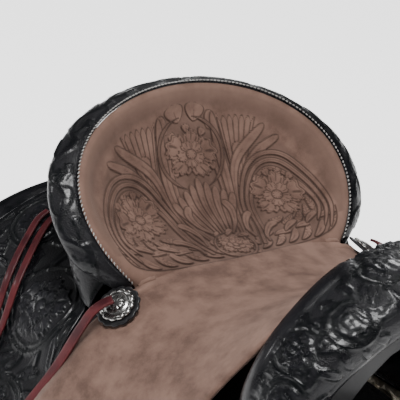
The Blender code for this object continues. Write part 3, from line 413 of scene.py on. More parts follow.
looks = {
    "roughout": {"name": "brownRoughout", "slot": "brown_roughout",
                 "dark": (0.098, 0.055, 0.042, 1), "light": (0.222, 0.134, 0.104, 1),
                 "nap": (0.250, 0.158, 0.124, 1), "pale": (0.300, 0.185, 0.143, 1),
                 "ground": (0.098, 0.061, 0.048, 1), "ink": (0.024, 0.014, 0.011, 1),
                 "sheen": (0.90, 0.76, 0.68, 1)},
    "tooled": {"name": "blackTooledLeather", "slot": "black_tooled_leather",
               "dark": (0.0045, 0.0042, 0.0055, 1), "light": (0.0095, 0.0092, 0.0115, 1),
               "rubbed": (0.014, 0.014, 0.018, 1), "ink": (0.001, 0.002, 0.0025, 1), "grain": 900.0,
               "coat": 0.18, "rough": 0.27},
    "plain": {"name": "blackLeather", "slot": "black_leather",
              "dark": (0.006, 0.0057, 0.0064, 1), "light": (0.012, 0.0115, 0.013, 1),
              "rubbed": (0.026, 0.025, 0.028, 1), "ink": (0.003, 0.003, 0.003, 1), "grain": 650.0,
              "coat": 0.12, "rough": 0.42},
    "burgundy": {"name": "burgundyLeather", "slot": "burgundy_leather",
                 "dark": (0.040, 0.006, 0.009, 1), "light": (0.105, 0.015, 0.018, 1),
                 "rubbed": (0.15, 0.035, 0.034, 1), "ink": (0.030, 0.006, 0.007, 1), "grain": 800.0,
                 "coat": 0.10, "rough": 0.45},
    "silver": {"name": "silverMetal", "slot": "silver_metal",
               "dark": (0.28, 0.27, 0.26, 1), "light": (0.50, 0.49, 0.48, 1),
               "ink": (0.05, 0.048, 0.045, 1), "rough": 0.26, "brush": (1.0, 1.0, 1.0)},
    "steel": {"name": "stainlessSteel", "slot": "stainless_steel",
              "dark": (0.44, 0.44, 0.45, 1), "light": (0.62, 0.62, 0.63, 1), "ink": (0.10, 0.10, 0.10, 1),
              "rough": 0.30, "brush": (0.1, 1.0, 1.0)},
    "wood": {"name": "treeWood", "slot": "tree_wood",
             "dark": (0.045, 0.030, 0.020, 1), "light": (0.16, 0.105, 0.065, 1)},
    "fleece": {"name": "creamFleece", "slot": "cream_fleece",
               "dark": (0.40, 0.33, 0.23, 1), "light": (0.86, 0.80, 0.68, 1),
               "soil": (0.55, 0.46, 0.33, 1)},
    "thread": {"name": "silverThread", "slot": "silver_metal",
               "dark": (0.30, 0.29, 0.28, 1), "light": (0.46, 0.45, 0.43, 1),
               "rubbed": (0.55, 0.54, 0.52, 1), "ink": (0.25, 0.24, 0.23, 1), "grain": 2500.0, "coat": 0.0,
               "rough": 0.5},
}
makers = {"roughout": makeRoughout, "silver": makeMetal, "steel": makeMetal, "wood": makeWood,
          "fleece": makeFleece}
materials = {name: makers.get(name, makeLeather)(look) for name, look in looks.items()}
print("materials made")


# mesh helpers
def readPoints(mesh):
    points = np.empty(len(mesh.vertices) * 3, np.float32)
    mesh.vertices.foreach_get("co", points)
    return points.reshape(-1, 3).astype(float)


def writePoints(mesh, points):
    mesh.vertices.foreach_set("co", points.astype(np.float32).ravel())
    mesh.update()


def readNormals(mesh):
    normals = np.empty(len(mesh.vertices) * 3, np.float32)
    mesh.vertices.foreach_get("normal", normals)
    return normals.reshape(-1, 3).astype(float)


def writeAttributes(mesh, ink=0.0, ground=0.0, pale=0.0):
    # ink is a cut's darkness, ground the stippled background and, on the seat's dish wall, painted shade, and
    # the last a painted highlight on raised and rounded tops
    for name, values in (("ink", ink), ("ground", ground), ("pale", pale)):
        made = mesh.attributes.new(name, "FLOAT", "POINT")
        made.data.foreach_set("value", np.full(len(mesh.vertices), np.clip(values, 0, 1), np.float32))


def finishPiece(name, mesh, look, body="saddle", replaced=(), thickness=0.0, angle=None):
    piece = bpy.data.objects.new(name, mesh)
    bpy.context.collection.objects.link(piece)
    mesh.materials.clear()
    mesh.materials.append(materials[look])
    mesh.shade_smooth()
    if angle:
        mesh.set_sharp_from_angle(angle=angle)
    if thickness:
        wall = piece.modifiers.new("wall", "SOLIDIFY")
        wall.thickness = thickness
        wall.offset = -1
    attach(piece, body)
    if replaced:
        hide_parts(*replaced)
    return piece


def intoMesh(bm, mesh):
    bm.to_mesh(mesh)
    bm.free()
    return mesh


def gridMesh(name, across, along, joined=()):
    # flat unit grid, u across and v along; joined adds more grids as (u0, u1, v0, v1, across, along)
    bm = bmesh.new()
    for u0, u1, v0, v1, nu, nv in ((0, 1, 0, 1, across, along),) + tuple(joined):
        made = bmesh.ops.create_grid(bm, x_segments=nu, y_segments=nv, size=0.5)["verts"]
        bmesh.ops.translate(bm, verts=made, vec=(0.5, 0.5, 0))
        bmesh.ops.scale(bm, verts=made, vec=(u1 - u0, v1 - v0, 1))
        bmesh.ops.translate(bm, verts=made, vec=(u0, v0, 0))
    if joined:
        bmesh.ops.remove_doubles(bm, verts=bm.verts, dist=1e-5)
    return intoMesh(bm, bpy.data.meshes.new(name))


def faceOut(mesh, hint):
    # turns all faces if they look away from hint(points)
    points, normals = readPoints(mesh), readNormals(mesh)
    if np.sum(normals * hint(points)) < 0:
        mesh.flip_normals()


def mergeSeams(mesh, distance=1e-5, fill=False):
    bm = bmesh.new()
    bm.from_mesh(mesh)
    bmesh.ops.remove_doubles(bm, verts=bm.verts, dist=distance)
    if fill:
        bmesh.ops.holes_fill(bm, edges=bm.edges, sides=0)
    bmesh.ops.dissolve_degenerate(bm, edges=bm.edges, dist=distance)
    intoMesh(bm, mesh)


def unit(v):
    return v / np.linalg.norm(v, axis=-1, keepdims=True)


def squareToDisc(u, v):
    # unit square to unit disc, both from -1 to 1
    return u * np.sqrt(1 - v * v / 2), v * np.sqrt(1 - u * u / 2)


def smoothCurve(points, steps, closed=False):
    # smooth curve through the points, with so many steps from each to the next
    points = np.array(points, float)
    count = len(points)
    t = np.arange(steps)[:, None] / steps
    rows = []
    for i in range(count if closed else count - 1):
        places = [(i + k) % count if closed else min(max(i + k, 0), count - 1) for k in (-1, 0, 1, 2)]
        a, b, c, d = points[places]
        rows.append(0.5 * (2 * b + (c - a) * t + (2 * a - 5 * b + 4 * c - d) * t ** 2
                           + (3 * b - a - 3 * c + d) * t ** 3))
    return np.concatenate(rows if closed else rows + [points[-1:]])


def runLengths(path):
    return np.concatenate([[0], np.cumsum(np.linalg.norm(np.diff(path, axis=0), axis=1))])


def nearestOn(path, points):
    # how far each point is from a path, and how far along the path that is, 0 to 1
    best = np.full(len(points), 1e9)
    share = np.zeros(len(points))
    for i, (a, b) in enumerate(zip(path, path[1:])):
        run = b - a
        t = np.clip((points - a) @ run / (run @ run), 0, 1)
        off = np.linalg.norm(points - a - t[:, None] * run, axis=1)
        closer = off < best
        best[closer] = off[closer]
        share[closer] = ((i + t) / (len(path) - 1))[closer]
    return best, share


def outlineMap(u, v, outline):
    # unit square to the inside of an outline that bulges round its middle, and how far in each point lies
    middle = outline.mean(axis=0)
    arm = outline - middle
    bearing = np.arctan2(arm[:, 1], arm[:, 0])
    order = np.argsort(bearing)
    reach = np.hypot(arm[:, 0], arm[:, 1])[order]
    bearing = bearing[order]
    a, b = squareToDisc(2 * u - 1, 2 * v - 1)
    turn = np.arctan2(b, a)
    far = np.interp(turn, bearing, reach, period=2 * math.pi)
    share = np.minimum(np.hypot(a, b), 1.0)
    return middle[0] + share * far * np.cos(turn), middle[1] + share * far * np.sin(turn), (1 - share) * far


# floral tooling: shapes pressed one over another into a field of surface points
# scrolls: share of the flower's radius, width, start and sweep of each band round it
tooling = {"ground": -0.75, "deepest": -1.0, "beside": 0.45, "cutDepth": 0.30,
           "scrolls": [(1.32, 0.0035, 0.5, 5.6), (1.13, 0.0035 * 0.85, -0.2, 5.9)]}


def newField(points, normals, up, place, cut):
    return {"points": points, "normals": normals, "up": np.array(up, float), "place": place, "cut": cut,
            "height": np.full(len(points), tooling["ground"]), "ink": np.zeros(len(points)),
            "ground": np.ones(len(points))}


def planField(a, b, side, cut):
    # a field laid out on a panel's flat plan
    place = lambda p, q: np.stack([p, q, 0 * p], axis=1)
    return newField(place(a, b), np.tile([0.0, 0.0, float(side)], (len(a), 1)), (0, -1, 0), place, cut)


def around(field, spot, reach, turn=0.0):
    # points within reach of a spot, with their distances across and along the turned direction
    centre = field["place"](*(np.array([v], float) for v in spot))[0]
    gap = field["points"] - centre
    near = np.flatnonzero((gap ** 2).sum(1) < reach * reach)
    if not len(near):
        return near, np.zeros(0), np.zeros(0)
    gap = gap[near]
    normal = field["normals"][near[np.argmin((gap ** 2).sum(1))]]
    up = field["up"] - normal * (field["up"] @ normal)
    up /= np.linalg.norm(up)
    a, b = gap @ np.cross(up, normal), gap @ up
    stretch = np.linalg.norm(gap, axis=1) / np.maximum(np.hypot(a, b), 1e-6)
    a, b = a * stretch, b * stretch
    return near, a * math.cos(turn) - b * math.sin(turn), a * math.sin(turn) + b * math.cos(turn)


def press(field, near, edge, height, ink=0.0):
    # edge is how far inside the shape a point lies; the leather beside the cut is pushed down
    cut = field["cut"]
    inside = smoothStep(edge / cut + 0.5)
    before = field["height"][near]
    pushed = tooling["beside"] * np.exp(-np.maximum(-edge, 0) / (2.0 * cut)) * (1 - inside)
    before = np.maximum(before - pushed, tooling["deepest"])
    line = np.exp(-(edge / (0.62 * cut)) ** 2)
    field["height"][near] = before + (height - before) * inside - tooling["cutDepth"] * line
    field["ink"][near] = np.maximum(field["ink"][near] * (1 - inside), np.maximum(line, ink * inside))
    field["ground"][near] *= 1 - inside


def leaf(field, spot, turn, length, width, curl=0.0, offset=0.0, lean=0.0, hatch=0.0):
    near, a, b = around(field, spot, offset + length * 1.2, turn)
    if not len(near):
        return
    b = b - offset
    a, b = a * math.cos(lean) - b * math.sin(lean), a * math.sin(lean) + b * math.cos(lean)
    share = np.clip(b / length, 0, 1)
    a = a - curl * length * share ** 2
    half = width * 0.62 * share ** 0.6 * np.sqrt(np.maximum(1 - share ** 4, 0))
    edge = np.where(b < 0, -np.hypot(a, b), np.where(b > length, -np.hypot(a, b - length), half - np.abs(a)))
    hollow = np.exp(-(a / (0.22 * width)) ** 2) * smoothStep((share - 0.25) / 0.3)
    vein = np.exp(-(a / (0.5 * field["cut"])) ** 2) * (share > 0.08) * (share < 0.62)
    cuts = vein * 0.7
    if hatch:
        strokes = np.clip(np.cos((b + np.abs(a) * 0.8) * 2 * math.pi / hatch) * 3 - 1.4, 0, 1)
        cuts = np.maximum(cuts, strokes * smoothStep((np.abs(a) / np.maximum(half, 1e-4) - 0.25) / 0.2)
                          * (share > 0.3))
    press(field, near, edge, 0.75 - 0.6 * hollow - 0.35 * cuts, cuts * 0.75)


def band(field, spot, radius, width, start, sweep):
    # a stem that runs round a flower and tapers at its ends
    near, a, b = around(field, spot, radius + width)
    if not len(near):
        return
    turn = (np.arctan2(a, b) - start) % (2 * math.pi)
    share = turn / sweep
    half = width / 2 * smoothStep(share * 6) * smoothStep((1 - share) * 4)
    off = np.abs(np.hypot(a, b) - radius)
    edge = np.where(share < 1, half - off, -1.0)
    groove = np.exp(-(off / (0.45 * field["cut"])) ** 2) * (half > 0.0016)
    press(field, near, edge, 0.55 - 0.35 * groove, groove * 0.55)


def frond(field, spots, narrow, wide, hatch=0.0):
    # a long leaf or stem through the spots, widening to its far end
    path = smoothCurve(spots, 8)
    path = field["place"](path[:, 0].copy(), path[:, 1].copy())
    middle = path.mean(axis=0)
    reach = np.linalg.norm(path - middle, axis=1).max() + wide
    near = np.flatnonzero(((field["points"] - middle) ** 2).sum(1) < reach ** 2)
    if not len(near):
        return
    best, share = nearestOn(path, field["points"][near])
    half = 0.5 * (narrow + (wide - narrow) * smoothStep(share / 0.9)) * np.sqrt(np.maximum(1 - share ** 8, 0))
    middleLine = np.exp(-(best / (0.5 * field["cut"])) ** 2) * (share < 0.75)
    cuts = middleLine * 0.6
    if hatch:
        strokes = np.clip(np.cos(share * hatch * 2 * math.pi) * 3 - 1.5, 0, 1)
        cuts = np.maximum(cuts, strokes * (best > half * 0.35) * (share > 0.35))
    press(field, near, half - best, 0.75 - 0.4 * np.exp(-(best / (0.2 * wide)) ** 2) * share - 0.3 * cuts,
          cuts * 0.8)


def fan(field, spot, turn, radius, opening, scallops=5):
    # a leaf like an open fan with a scalloped edge
    near, a, b = around(field, spot, radius * 1.15, turn)
    if not len(near):
        return
    r, bearing = np.hypot(a, b), np.arctan2(a, b)
    far = radius * (0.92 + 0.08 * np.abs(np.cos(bearing / opening * scallops * math.pi)))
    edge = np.minimum(far - r, (opening / 2 - np.abs(bearing)) * r)
    ribs = np.clip(np.cos(bearing / opening * scallops * 2 * math.pi + math.pi) * 4 - 2.6, 0, 1)
    ribs = ribs * (r > 0.25 * radius)
    press(field, near, edge, 0.70 - 0.4 * ribs * (r < 0.9 * radius), ribs * 0.8)


def flower(field, spot, radius, turn=0.0, petals=5, squash=1.0):
    # two rings of ruffled petals with folded tips, round a seeded middle
    near, a, b = around(field, spot, radius * 1.25 * max(1, squash), turn)
    if not len(near):
        return
    b = b / squash
    r, bearing = np.hypot(a, b), np.arctan2(a, b)
    bearing = bearing + 0.10 * np.sin(2 * bearing + turn) + 0.16 * np.sin(3 * bearing) * r / radius
    cut = field["cut"]
    for size, shift, rise in ((1.0, 0.0, 0.50), (0.56, math.pi / petals, 0.85)):
        local = bearing + shift
        lobes = np.abs(np.cos(petals / 2 * local)) ** 0.75
        ruffle = 0.055 * np.cos(petals * 5 * local) * smoothStep(lobes * 2)
        far = radius * size * (0.66 + 0.30 * lobes + ruffle)
        apart = np.abs((local * petals / (2 * math.pi)) % 1 - 0.5) * 2 * math.pi / petals * r
        split = np.exp(-(apart / (0.55 * cut)) ** 2) * (r > 0.22 * radius * size)
        strokes = np.clip(np.cos(petals * 3 * local) * 3 - 1.9, 0, 1)
        strokes = strokes * smoothStep((r / far - 0.50) / 0.1) * smoothStep((0.90 - r / far) / 0.06)
        fold = np.exp(-((far - r - 2.4 * cut) / (0.5 * cut)) ** 2)
        fold = fold * smoothStep((lobes - 0.55) / 0.2) * (size > 0.9)
        cuts = np.maximum(np.maximum(split * 0.95, strokes * 0.8), fold * 0.7)
        dish = 0.4 * smoothStep(r / far * 1.7 - 0.7)
        press(field, near, far - r, rise + dish - 0.5 * cuts, cuts * 0.9)
    seeds = np.clip(np.cos(bearing * 9) * 2, 0, 1) * np.exp(-((r - 0.13 * radius) / (0.5 * cut)) ** 2)
    press(field, near, 0.19 * radius - r, 0.75 - 0.5 * seeds, seeds * 0.9)


def bloom(field, spot, radius, turn=0.0, leaves=9, leafLength=0.020, leafWidth=0.009, lean=0.5, petals=5,
          hatch=0.0):
    # leaves that swirl out of a scroll, the scroll and the flower inside it
    for i in range(leaves):
        leaf(field, spot, turn + 2 * math.pi * i / leaves, leafLength * (1 + 0.18 * math.sin(i * 2.4)),
             leafWidth, curl=0.25 * math.copysign(1, lean), offset=radius * 1.22, lean=lean, hatch=hatch)
    for share, width, start, sweep in tooling["scrolls"]:
        band(field, spot, radius * share, width, turn + start, sweep)
    flower(field, spot, radius, turn, petals)


def insideLoop(a, b, loop):
    # distance inside a closed loop, and below 0 outside it
    best = np.full(len(a), 1e9)
    odd = np.zeros(len(a), bool)
    for (a0, b0), (a1, b1) in zip(loop, np.roll(loop, -1, axis=0)):
        run = (a1 - a0) ** 2 + (b1 - b0) ** 2
        t = np.clip(((a - a0) * (a1 - a0) + (b - b0) * (b1 - b0)) / max(run, 1e-12), 0, 1)
        best = np.minimum(best, np.hypot(a - a0 - t * (a1 - a0), b - b0 - t * (b1 - b0)))
        if b0 != b1:
            odd ^= ((b0 > b) != (b1 > b)) & (a < (a1 - a0) * (b - b0) / (b1 - b0) + a0)
    return np.where(odd, best, -best)


def keepGround(field, mask):
    # where mask is 0 the leather stays plain
    field["height"] = np.where(field["ground"] > 0.02, field["height"] * mask, field["height"])
    field["ground"] = field["ground"] * mask


def plainBeyond(field, mask):
    # no tooling at all where mask is 0
    keepGround(field, mask)
    field["height"] *= mask
    field["ink"] *= mask


def borderLines(field, into, places, width=0.0006):
    for place in places:
        line = np.exp(-((into - place) / width) ** 2)
        field["ink"] = np.maximum(field["ink"], line)
        field["height"] = field["height"] - 0.5 * line


def applyField(mesh, field, points, normals, depth, extra=0.0, pale=None):
    writePoints(mesh, points + normals * (field["height"] * depth + extra)[:, None])
    # by default the raised tooling gets a painted highlight
    if pale is None:
        pale = smoothStep((field["height"] - 0.35) / 0.5)
    writeAttributes(mesh, field["ink"], field["ground"], pale)


# strings: flat burgundy leather cords
# left side routes, the right side is their mirror image
strings = {
    "seat_string": {"width": 0.0105, "route": [
        (-0.0160, 0.1605, 0.0375), (-0.0190, 0.1695, 0.0328), (-0.0215, 0.1788, 0.0240),
        (-0.0235, 0.1865, 0.0095), (-0.0255, 0.1945, -0.0070), (-0.0275, 0.2035, -0.0260),
        (-0.0305, 0.2160, -0.0480), (-0.0345, 0.2350, -0.0760), (-0.0385, 0.2560, -0.1080),
        (-0.0430, 0.2780, -0.1480), (-0.0480, 0.2950, -0.1930), (-0.0530, 0.3050, -0.2430),
        (-0.0570, 0.3090, -0.2980), (-0.0590, 0.3100, -0.3520)]},
    "cantle_string_front": {"width": 0.0072, "route": [
        (-0.1870, 0.1215, 0.0375), (-0.1850, 0.1345, 0.0310), (-0.1730, 0.1530, 0.0200),
        (-0.1580, 0.1715, 0.0080), (-0.1430, 0.1910, -0.0095), (-0.1340, 0.2040, -0.0325),
        (-0.1300, 0.2150, -0.0550), (-0.1270, 0.2330, -0.0775), (-0.1250, 0.2525, -0.1040),
        (-0.1240, 0.2695, -0.1315), (-0.1240, 0.2855, -0.1595), (-0.1240, 0.3035, -0.1860),
        (-0.1240, 0.3110, -0.2300), (-0.1240, 0.3140, -0.2800), (-0.1240, 0.3150, -0.3300)]},
    "cantle_string_rear": {"width": 0.0072, "route": [
        (-0.1990, 0.1280, 0.0355), (-0.1970, 0.1400, 0.0295), (-0.1850, 0.1580, 0.0180),
        (-0.1710, 0.1765, 0.0055), (-0.1570, 0.1945, -0.0130), (-0.1490, 0.2060, -0.0360),
        (-0.1450, 0.2175, -0.0575), (-0.1420, 0.2350, -0.0790), (-0.1410, 0.2525, -0.1030),
        (-0.1410, 0.2695, -0.1305), (-0.1410, 0.2855, -0.1585), (-0.1410, 0.3035, -0.1860),
        (-0.1410, 0.3105, -0.2300), (-0.1410, 0.3130, -0.2800), (-0.1410, 0.3140, -0.3450)]}}
stringMake = {"thick": 0.0026, "across": 6, "steps": 6, "twist": 0.12}


def makeString(name, setup, word, side):
    path = smoothCurve([(x, y * side, z) for x, y, z in setup["route"]], stringMake["steps"])
    mesh = gridMesh(name, stringMake["across"], len(path) - 1)
    flat = readPoints(mesh)
    row = np.clip(np.round(flat[:, 1] * (len(path) - 1)).astype(int), 0, len(path) - 1)
    ahead = unit(np.gradient(path, axis=0))
    out = np.stack([np.zeros(len(path)), path[:, 1], path[:, 2] + 0.30], axis=1)
    out = unit(out - ahead * (out * ahead).sum(1)[:, None])
    across = np.cross(ahead, out)
    share = np.linspace(0, 1, len(path))
    twist = stringMake["twist"] * np.sin(share * 9 + side)
    across = across * np.cos(twist)[:, None] + out * np.sin(twist)[:, None]
    width = setup["width"] * (1 - 0.35 * smoothStep((share - 0.94) / 0.06))
    offset = (flat[:, 0] - 0.5) * width[row]
    crown = (1 - (2 * flat[:, 0] - 1) ** 2) * 0.0003
    lift = out[row] * (stringMake["thick"] / 2 + crown)[:, None]
    writePoints(mesh, path[row] + across[row] * offset[:, None] + lift)
    faceOut(mesh, lambda points: out[row])
    # painted highlight: the strap's edges are lightened
    edge = np.abs(2 * flat[:, 0] - 1)
    writeAttributes(mesh, pale=smoothStep((edge - 0.7) / 0.3) * 0.5)
    piece = finishPiece(f"{name}_{word}_strap", mesh, "burgundy", replaced=[f"{name}_{word}"],
                        thickness=stringMake["thick"])


makeCamera(camera)
for word, side in sides.items():
    for name, setup in strings.items():
        makeString(name, setup, word, side)
print("camera and strings made")


# seat
seat = {"inset": 0.995, "front": 0.166, "flapWidth": 0.356, "cellsAcross": 380, "cellsDish": 260,
        "cellsFront": 60, "cellsFlap": 70, "thick": 0.0036, "depth": 0.00095, "cut": 0.0012,
        "padHeight": 0.0026, "padMiddle": 0.012, "padWidth": 0.010, "bindDepth": 0.0018,
        "bindWidth": 0.0028}
# the flap's rear and front edges: places along the saddle at widths from the middle
flapRear = [(0.1252, -0.030), (0.134, -0.020), (0.146, -0.014), (0.165, -0.012), (0.215, -0.014),
            (0.290, -0.022), (0.335, -0.022), (0.350, -0.016), (0.356, -0.008)]
flapFront = [(0.131, 0.166), (0.190, 0.160), (0.260, 0.155), (0.325, 0.143), (0.348, 0.128), (0.356, 0.108)]


def seatPlan(u, v):
    # dish for v up to 1, then the front and, beyond u 0 and 1, the side flaps
    dish = rimPoint(np.minimum(v, 1) * rim["end"])
    x = rim["bindX"] + (dish[:, 0] - rim["bindX"]) * seat["inset"]
    w = (2 * u - 1) * dish[:, 1] * seat["inset"]
    t = np.maximum(v - 1, 0) ** 1.6      # rows lie closer where the dish begins
    middle = rim["bindY"] * seat["inset"] + 0.0058 * smoothStep(t / 0.08)
    out = np.maximum(np.abs(2 * u - 1) - 1, 0) / 2
    width = middle + out * (seat["flapWidth"] - middle)
    rear = throughKnots(flapRear, width)
    front = throughKnots(flapFront, width)
    side = np.sign(2 * u - 1)
    frontRow = rim["bindX"] + t * (seat["front"] - rim["bindX"])
    blend = smoothStep(out * 12)
    flapX = frontRow + (rear + (front - rear) * t - frontRow) * blend
    isFlap = out > 0
    isFront = v > 1
    w = np.where(isFront, np.where(isFlap, side * width, (2 * u - 1) * middle), w)
    x = np.where(isFront, np.where(isFlap, flapX, frontRow), x)
    return x, w


# the dish's tooling on one side, as places (x, w); the other side is its mirror image
dishStems = [
    [(-0.040, 0.026), (-0.066, 0.036), (-0.100, 0.044), (-0.124, 0.062), (-0.1285, 0.086), (-0.118, 0.110),
     (-0.092, 0.1275), (-0.062, 0.1310), (-0.040, 0.118)],
    [(-0.038, 0.032), (-0.064, 0.042), (-0.098, 0.0495), (-0.119, 0.066), (-0.1235, 0.086), (-0.114, 0.106),
     (-0.090, 0.1220), (-0.062, 0.1250), (-0.042, 0.112)],
    [(-0.052, 0.044), (-0.076, 0.0485), (-0.098, 0.0545), (-0.114, 0.069), (-0.118, 0.086), (-0.109, 0.102),
     (-0.088, 0.1160), (-0.066, 0.1190), (-0.050, 0.108)]]
dishLeaves = [
    ([(-0.060, 0.022), (-0.090, 0.031), (-0.122, 0.036), (-0.1595, 0.033)], 0.0125),
    ([(-0.078, 0.034), (-0.108, 0.041), (-0.132, 0.054), (-0.1435, 0.092)], 0.0130),
    ([(-0.092, 0.042), (-0.118, 0.055), (-0.131, 0.078), (-0.1330, 0.106)], 0.0110),
    ([(-0.050, 0.016), (-0.082, 0.0245), (-0.112, 0.029), (-0.146, 0.0275)], 0.0080)]
dishContour = [(-0.1635, 0.0), (-0.1625, 0.020), (-0.1590, 0.036), (-0.1540, 0.058), (-0.1440, 0.083),
               (-0.1335, 0.104), (-0.1180, 0.119), (-0.0920, 0.1310), (-0.0620, 0.1345), (-0.0430, 0.1260),
               (-0.0350, 0.104), (-0.0300, 0.070), (-0.0250, 0.030), (-0.0235, 0.0)]


def mirrored(places, side):
    return [(x, w * side) for x, w in places]


def toolDish(field):
    # leaves under the flowers first, then the long leaves, stems and flowers over them
    for side in (-1, 1):
        for k in range(3):
            leaf(field, (-0.140, 0.0), (0.28 + 0.54 * k) * side, 0.0190, 0.0270, 0.0, 0.0340)
        fan(field, (-0.104, 0.049 * side), 0.20 * side, 0.0860, 0.56, 6)
        leaf(field, (-0.104, 0.049 * side), 0.22 * side, 0.024, 0.017, 0.0, 0.034)
        for k in range(6):
            leaf(field, (-0.095, 0.085 * side), (1.70 + 0.36 * k) * side, 0.018, 0.0105, 0.3 * side, 0.029,
                 0.75 * side, hatch=0.004)
        for k in range(7):
            turn = (0.0175 * k) * side
            leaf(field, (-0.030 - 0.0012 * k, 0.024 * side + turn), 1.20 * side, 0.0240, 0.0105, -0.35 * side,
                 hatch=0.0042 if k % 2 else 0.0)
        for k in range(6):
            leaf(field, (-0.045 - 0.0015 * k, (0.036 + 0.0145 * k) * side), (0.70 + 0.45 * (k % 2)) * side,
                 0.0165 + 0.003 * (k % 3), 0.0095, 0.35 * side)
    for side in (-1, 1):
        for path, wide in dishLeaves[::-1]:
            frond(field, mirrored(path, side), 0.0028, wide)
        for path in dishStems:
            frond(field, mirrored(path, side), 0.0042, 0.0058)
    for k in range(-4, 5):
        lift = 0.004 * abs(k)
        frond(field, [(-0.066, 0.0035 * k), (-0.092 + lift * 0.3, 0.0062 * k), (-0.125 + lift, 0.0092 * k)],
              0.0025, 0.0105)
    for side in (-1, 1):
        band(field, (-0.1400, 0.0), 0.0385, 0.0036, 3.5 if side < 0 else 0.2, 2.6)
        frond(field, mirrored([(-0.064, 0.010), (-0.078, 0.021), (-0.094, 0.026), (-0.104, 0.021)], side),
              0.003, 0.0105)
        frond(field, mirrored([(-0.052, 0.030), (-0.066, 0.029), (-0.080, 0.036), (-0.086, 0.045)], side),
              0.003, 0.0095)
        frond(field, mirrored([(-0.040, 0.040), (-0.051, 0.043), (-0.062, 0.054), (-0.064, 0.064)], side),
              0.003, 0.0095)
        for k in range(5):
            leaf(field, (-0.0955, 0.0850 * side), (-1.05 + 0.52 * k) * side, 0.0085, 0.0105, 0.0, 0.0215)
        flower(field, (-0.0945, 0.0850 * side), 0.0310, 0.45 * side, 5, 0.93)
    for k in range(7):
        leaf(field, (-0.1395, 0.0), -2.2 + 0.72 * k, 0.0090, 0.0110, 0.0, 0.0225)
    flower(field, (-0.1395, 0.0), 0.0325, 0.2, 5, 0.82)
    for k in range(7):
        leaf(field, (-0.0445, 0.0), -2.1 + 0.70 * k, 0.0125, 0.0085, 0.25, 0.0165, 0.6)
    band(field, (-0.0445, 0.0), 0.0215, 0.0030, 0.8, 5.6)
    flower(field, (-0.0445, 0.0), 0.0190, 0.5, 5, 0.85)


def makeSeat():
    dish, front, flap = seat["cellsDish"], seat["cellsFront"], seat["cellsFlap"]
    mesh = gridMesh("seat_leather", seat["cellsAcross"], dish, [
        (0, 1, 1, 2, seat["cellsAcross"], front), (-1, 0, 1, 2, flap, front), (1, 2, 1, 2, flap, front)])
    flat = readPoints(mesh)
    x, w = seatPlan(flat[:, 0], flat[:, 1])
    points = seatTop(x, w)
    writePoints(mesh, points)
    faceOut(mesh, lambda p: np.stack([0 * x, p[:, 1], p[:, 2] + 0.3], axis=1))
    normals = readNormals(mesh)
    pole = flat[:, 1] * dish < 6.5
    normals[pole] = unit(normals[(flat[:, 1] * dish < 9.5) & ~pole].mean(axis=0))
    field = newField(points, normals, (-1, 0, 0.2), seatTop, seat["cut"])
    toolDish(field)
    loop = smoothCurve(dishContour + mirrored(dishContour[-2:0:-1], -1), 6, True)
    inside = insideLoop(x, w, loop)
    atFront = smoothStep((x + 0.062) / 0.012)
    keepGround(field, smoothStep(inside / (0.0045 - 0.003 * atFront)))
    clear = np.where(atFront > 0, smoothStep((inside + 0.0015) / 0.0010),
                     smoothStep((inside + 0.009) / 0.002))
    field["height"] *= clear
    field["ink"] *= clear
    borderLines(field, np.where(atFront > 0.3, inside, 1.0), (0.0,), 0.0008)
    away, _ = nearestOn(rimPoint(np.linspace(-rim["end"], rim["end"], 90)), points)
    ridge = np.exp(-((away - seat["padMiddle"]) / seat["padWidth"]) ** 2) * (x < -0.02)
    pad = seat["padHeight"] * ridge
    pad -= seat["bindDepth"] * np.exp(-(away / seat["bindWidth"]) ** 2)
    outEdge = np.minimum(np.abs(flat[:, 0] + 1), np.abs(flat[:, 0] - 2))
    # painted highlight: the padded rim band and the raised tooling are lightened
    ridge = np.maximum(ridge, smoothStep((field["height"] - 0.4) / 0.5) * 0.35)
    # painted shade: the dish's steep inner wall between the padded rim and the tooling is darkened with the
    # ground colour
    paintedShade = smoothStep((away - 0.004) / 0.008) * smoothStep((0.036 - away) / 0.016) * (x < -0.05)
    field["ground"] = np.maximum(field["ground"], 1.3 * paintedShade * smoothStep((0.001 - inside) / 0.006))
    borderLines(field, outEdge, (0.045,), 0.004)
    applyField(mesh, field, points, normals, seat["depth"], pad, ridge)
    bm = bmesh.new()
    bm.from_mesh(mesh)
    bmesh.ops.remove_doubles(bm, verts=bm.verts, dist=2e-6)
    intoMesh(bm, mesh)
    piece = finishPiece("seat_leather", mesh, "roughout", replaced=["seat_cover"], thickness=seat["thick"])


makeSeat()
print("seat made")


# cantle roll, its rope stitch and the cantle's back
roll = {"width": 0.030, "endWidth": 0.016, "reach": 0.995, "stations": 420, "around": 44, "depth": 0.0008,
        "cut": 0.0013,
        "rows": [(-0.0004, -0.0012, 0.0), (0.0, 0.0036, 0.25), (0.0, 0.0042, 0.6), (0.0, 0.0010, 0.92),
                 (0.0, -0.0050, 1.0), (0.0, -0.0095, 0.90), (0.0060, -0.0085, 0.5), (0.0130, -0.0062, 0.0)]}


def rollFrame(angle):
    # a place on the rim with the roll's ways out and up there
    point = rimPoint(angle)
    ahead = unit(rimPoint(np.minimum(angle + 0.02, rim["end"]))
                 - rimPoint(np.maximum(angle - 0.02, -rim["end"])))
    out = np.stack([-0.35 - 0.57 * np.maximum(np.cos(angle), 0) ** 2, 0.85 * np.sin(angle),
                    np.full_like(angle, -0.36)], axis=-1)
    out = unit(out - ahead * (out * ahead).sum(-1, keepdims=True))
    up = np.cross(ahead, out)
    up = np.where(up[..., 2:] < 0, -up, up)
    return point, out, up


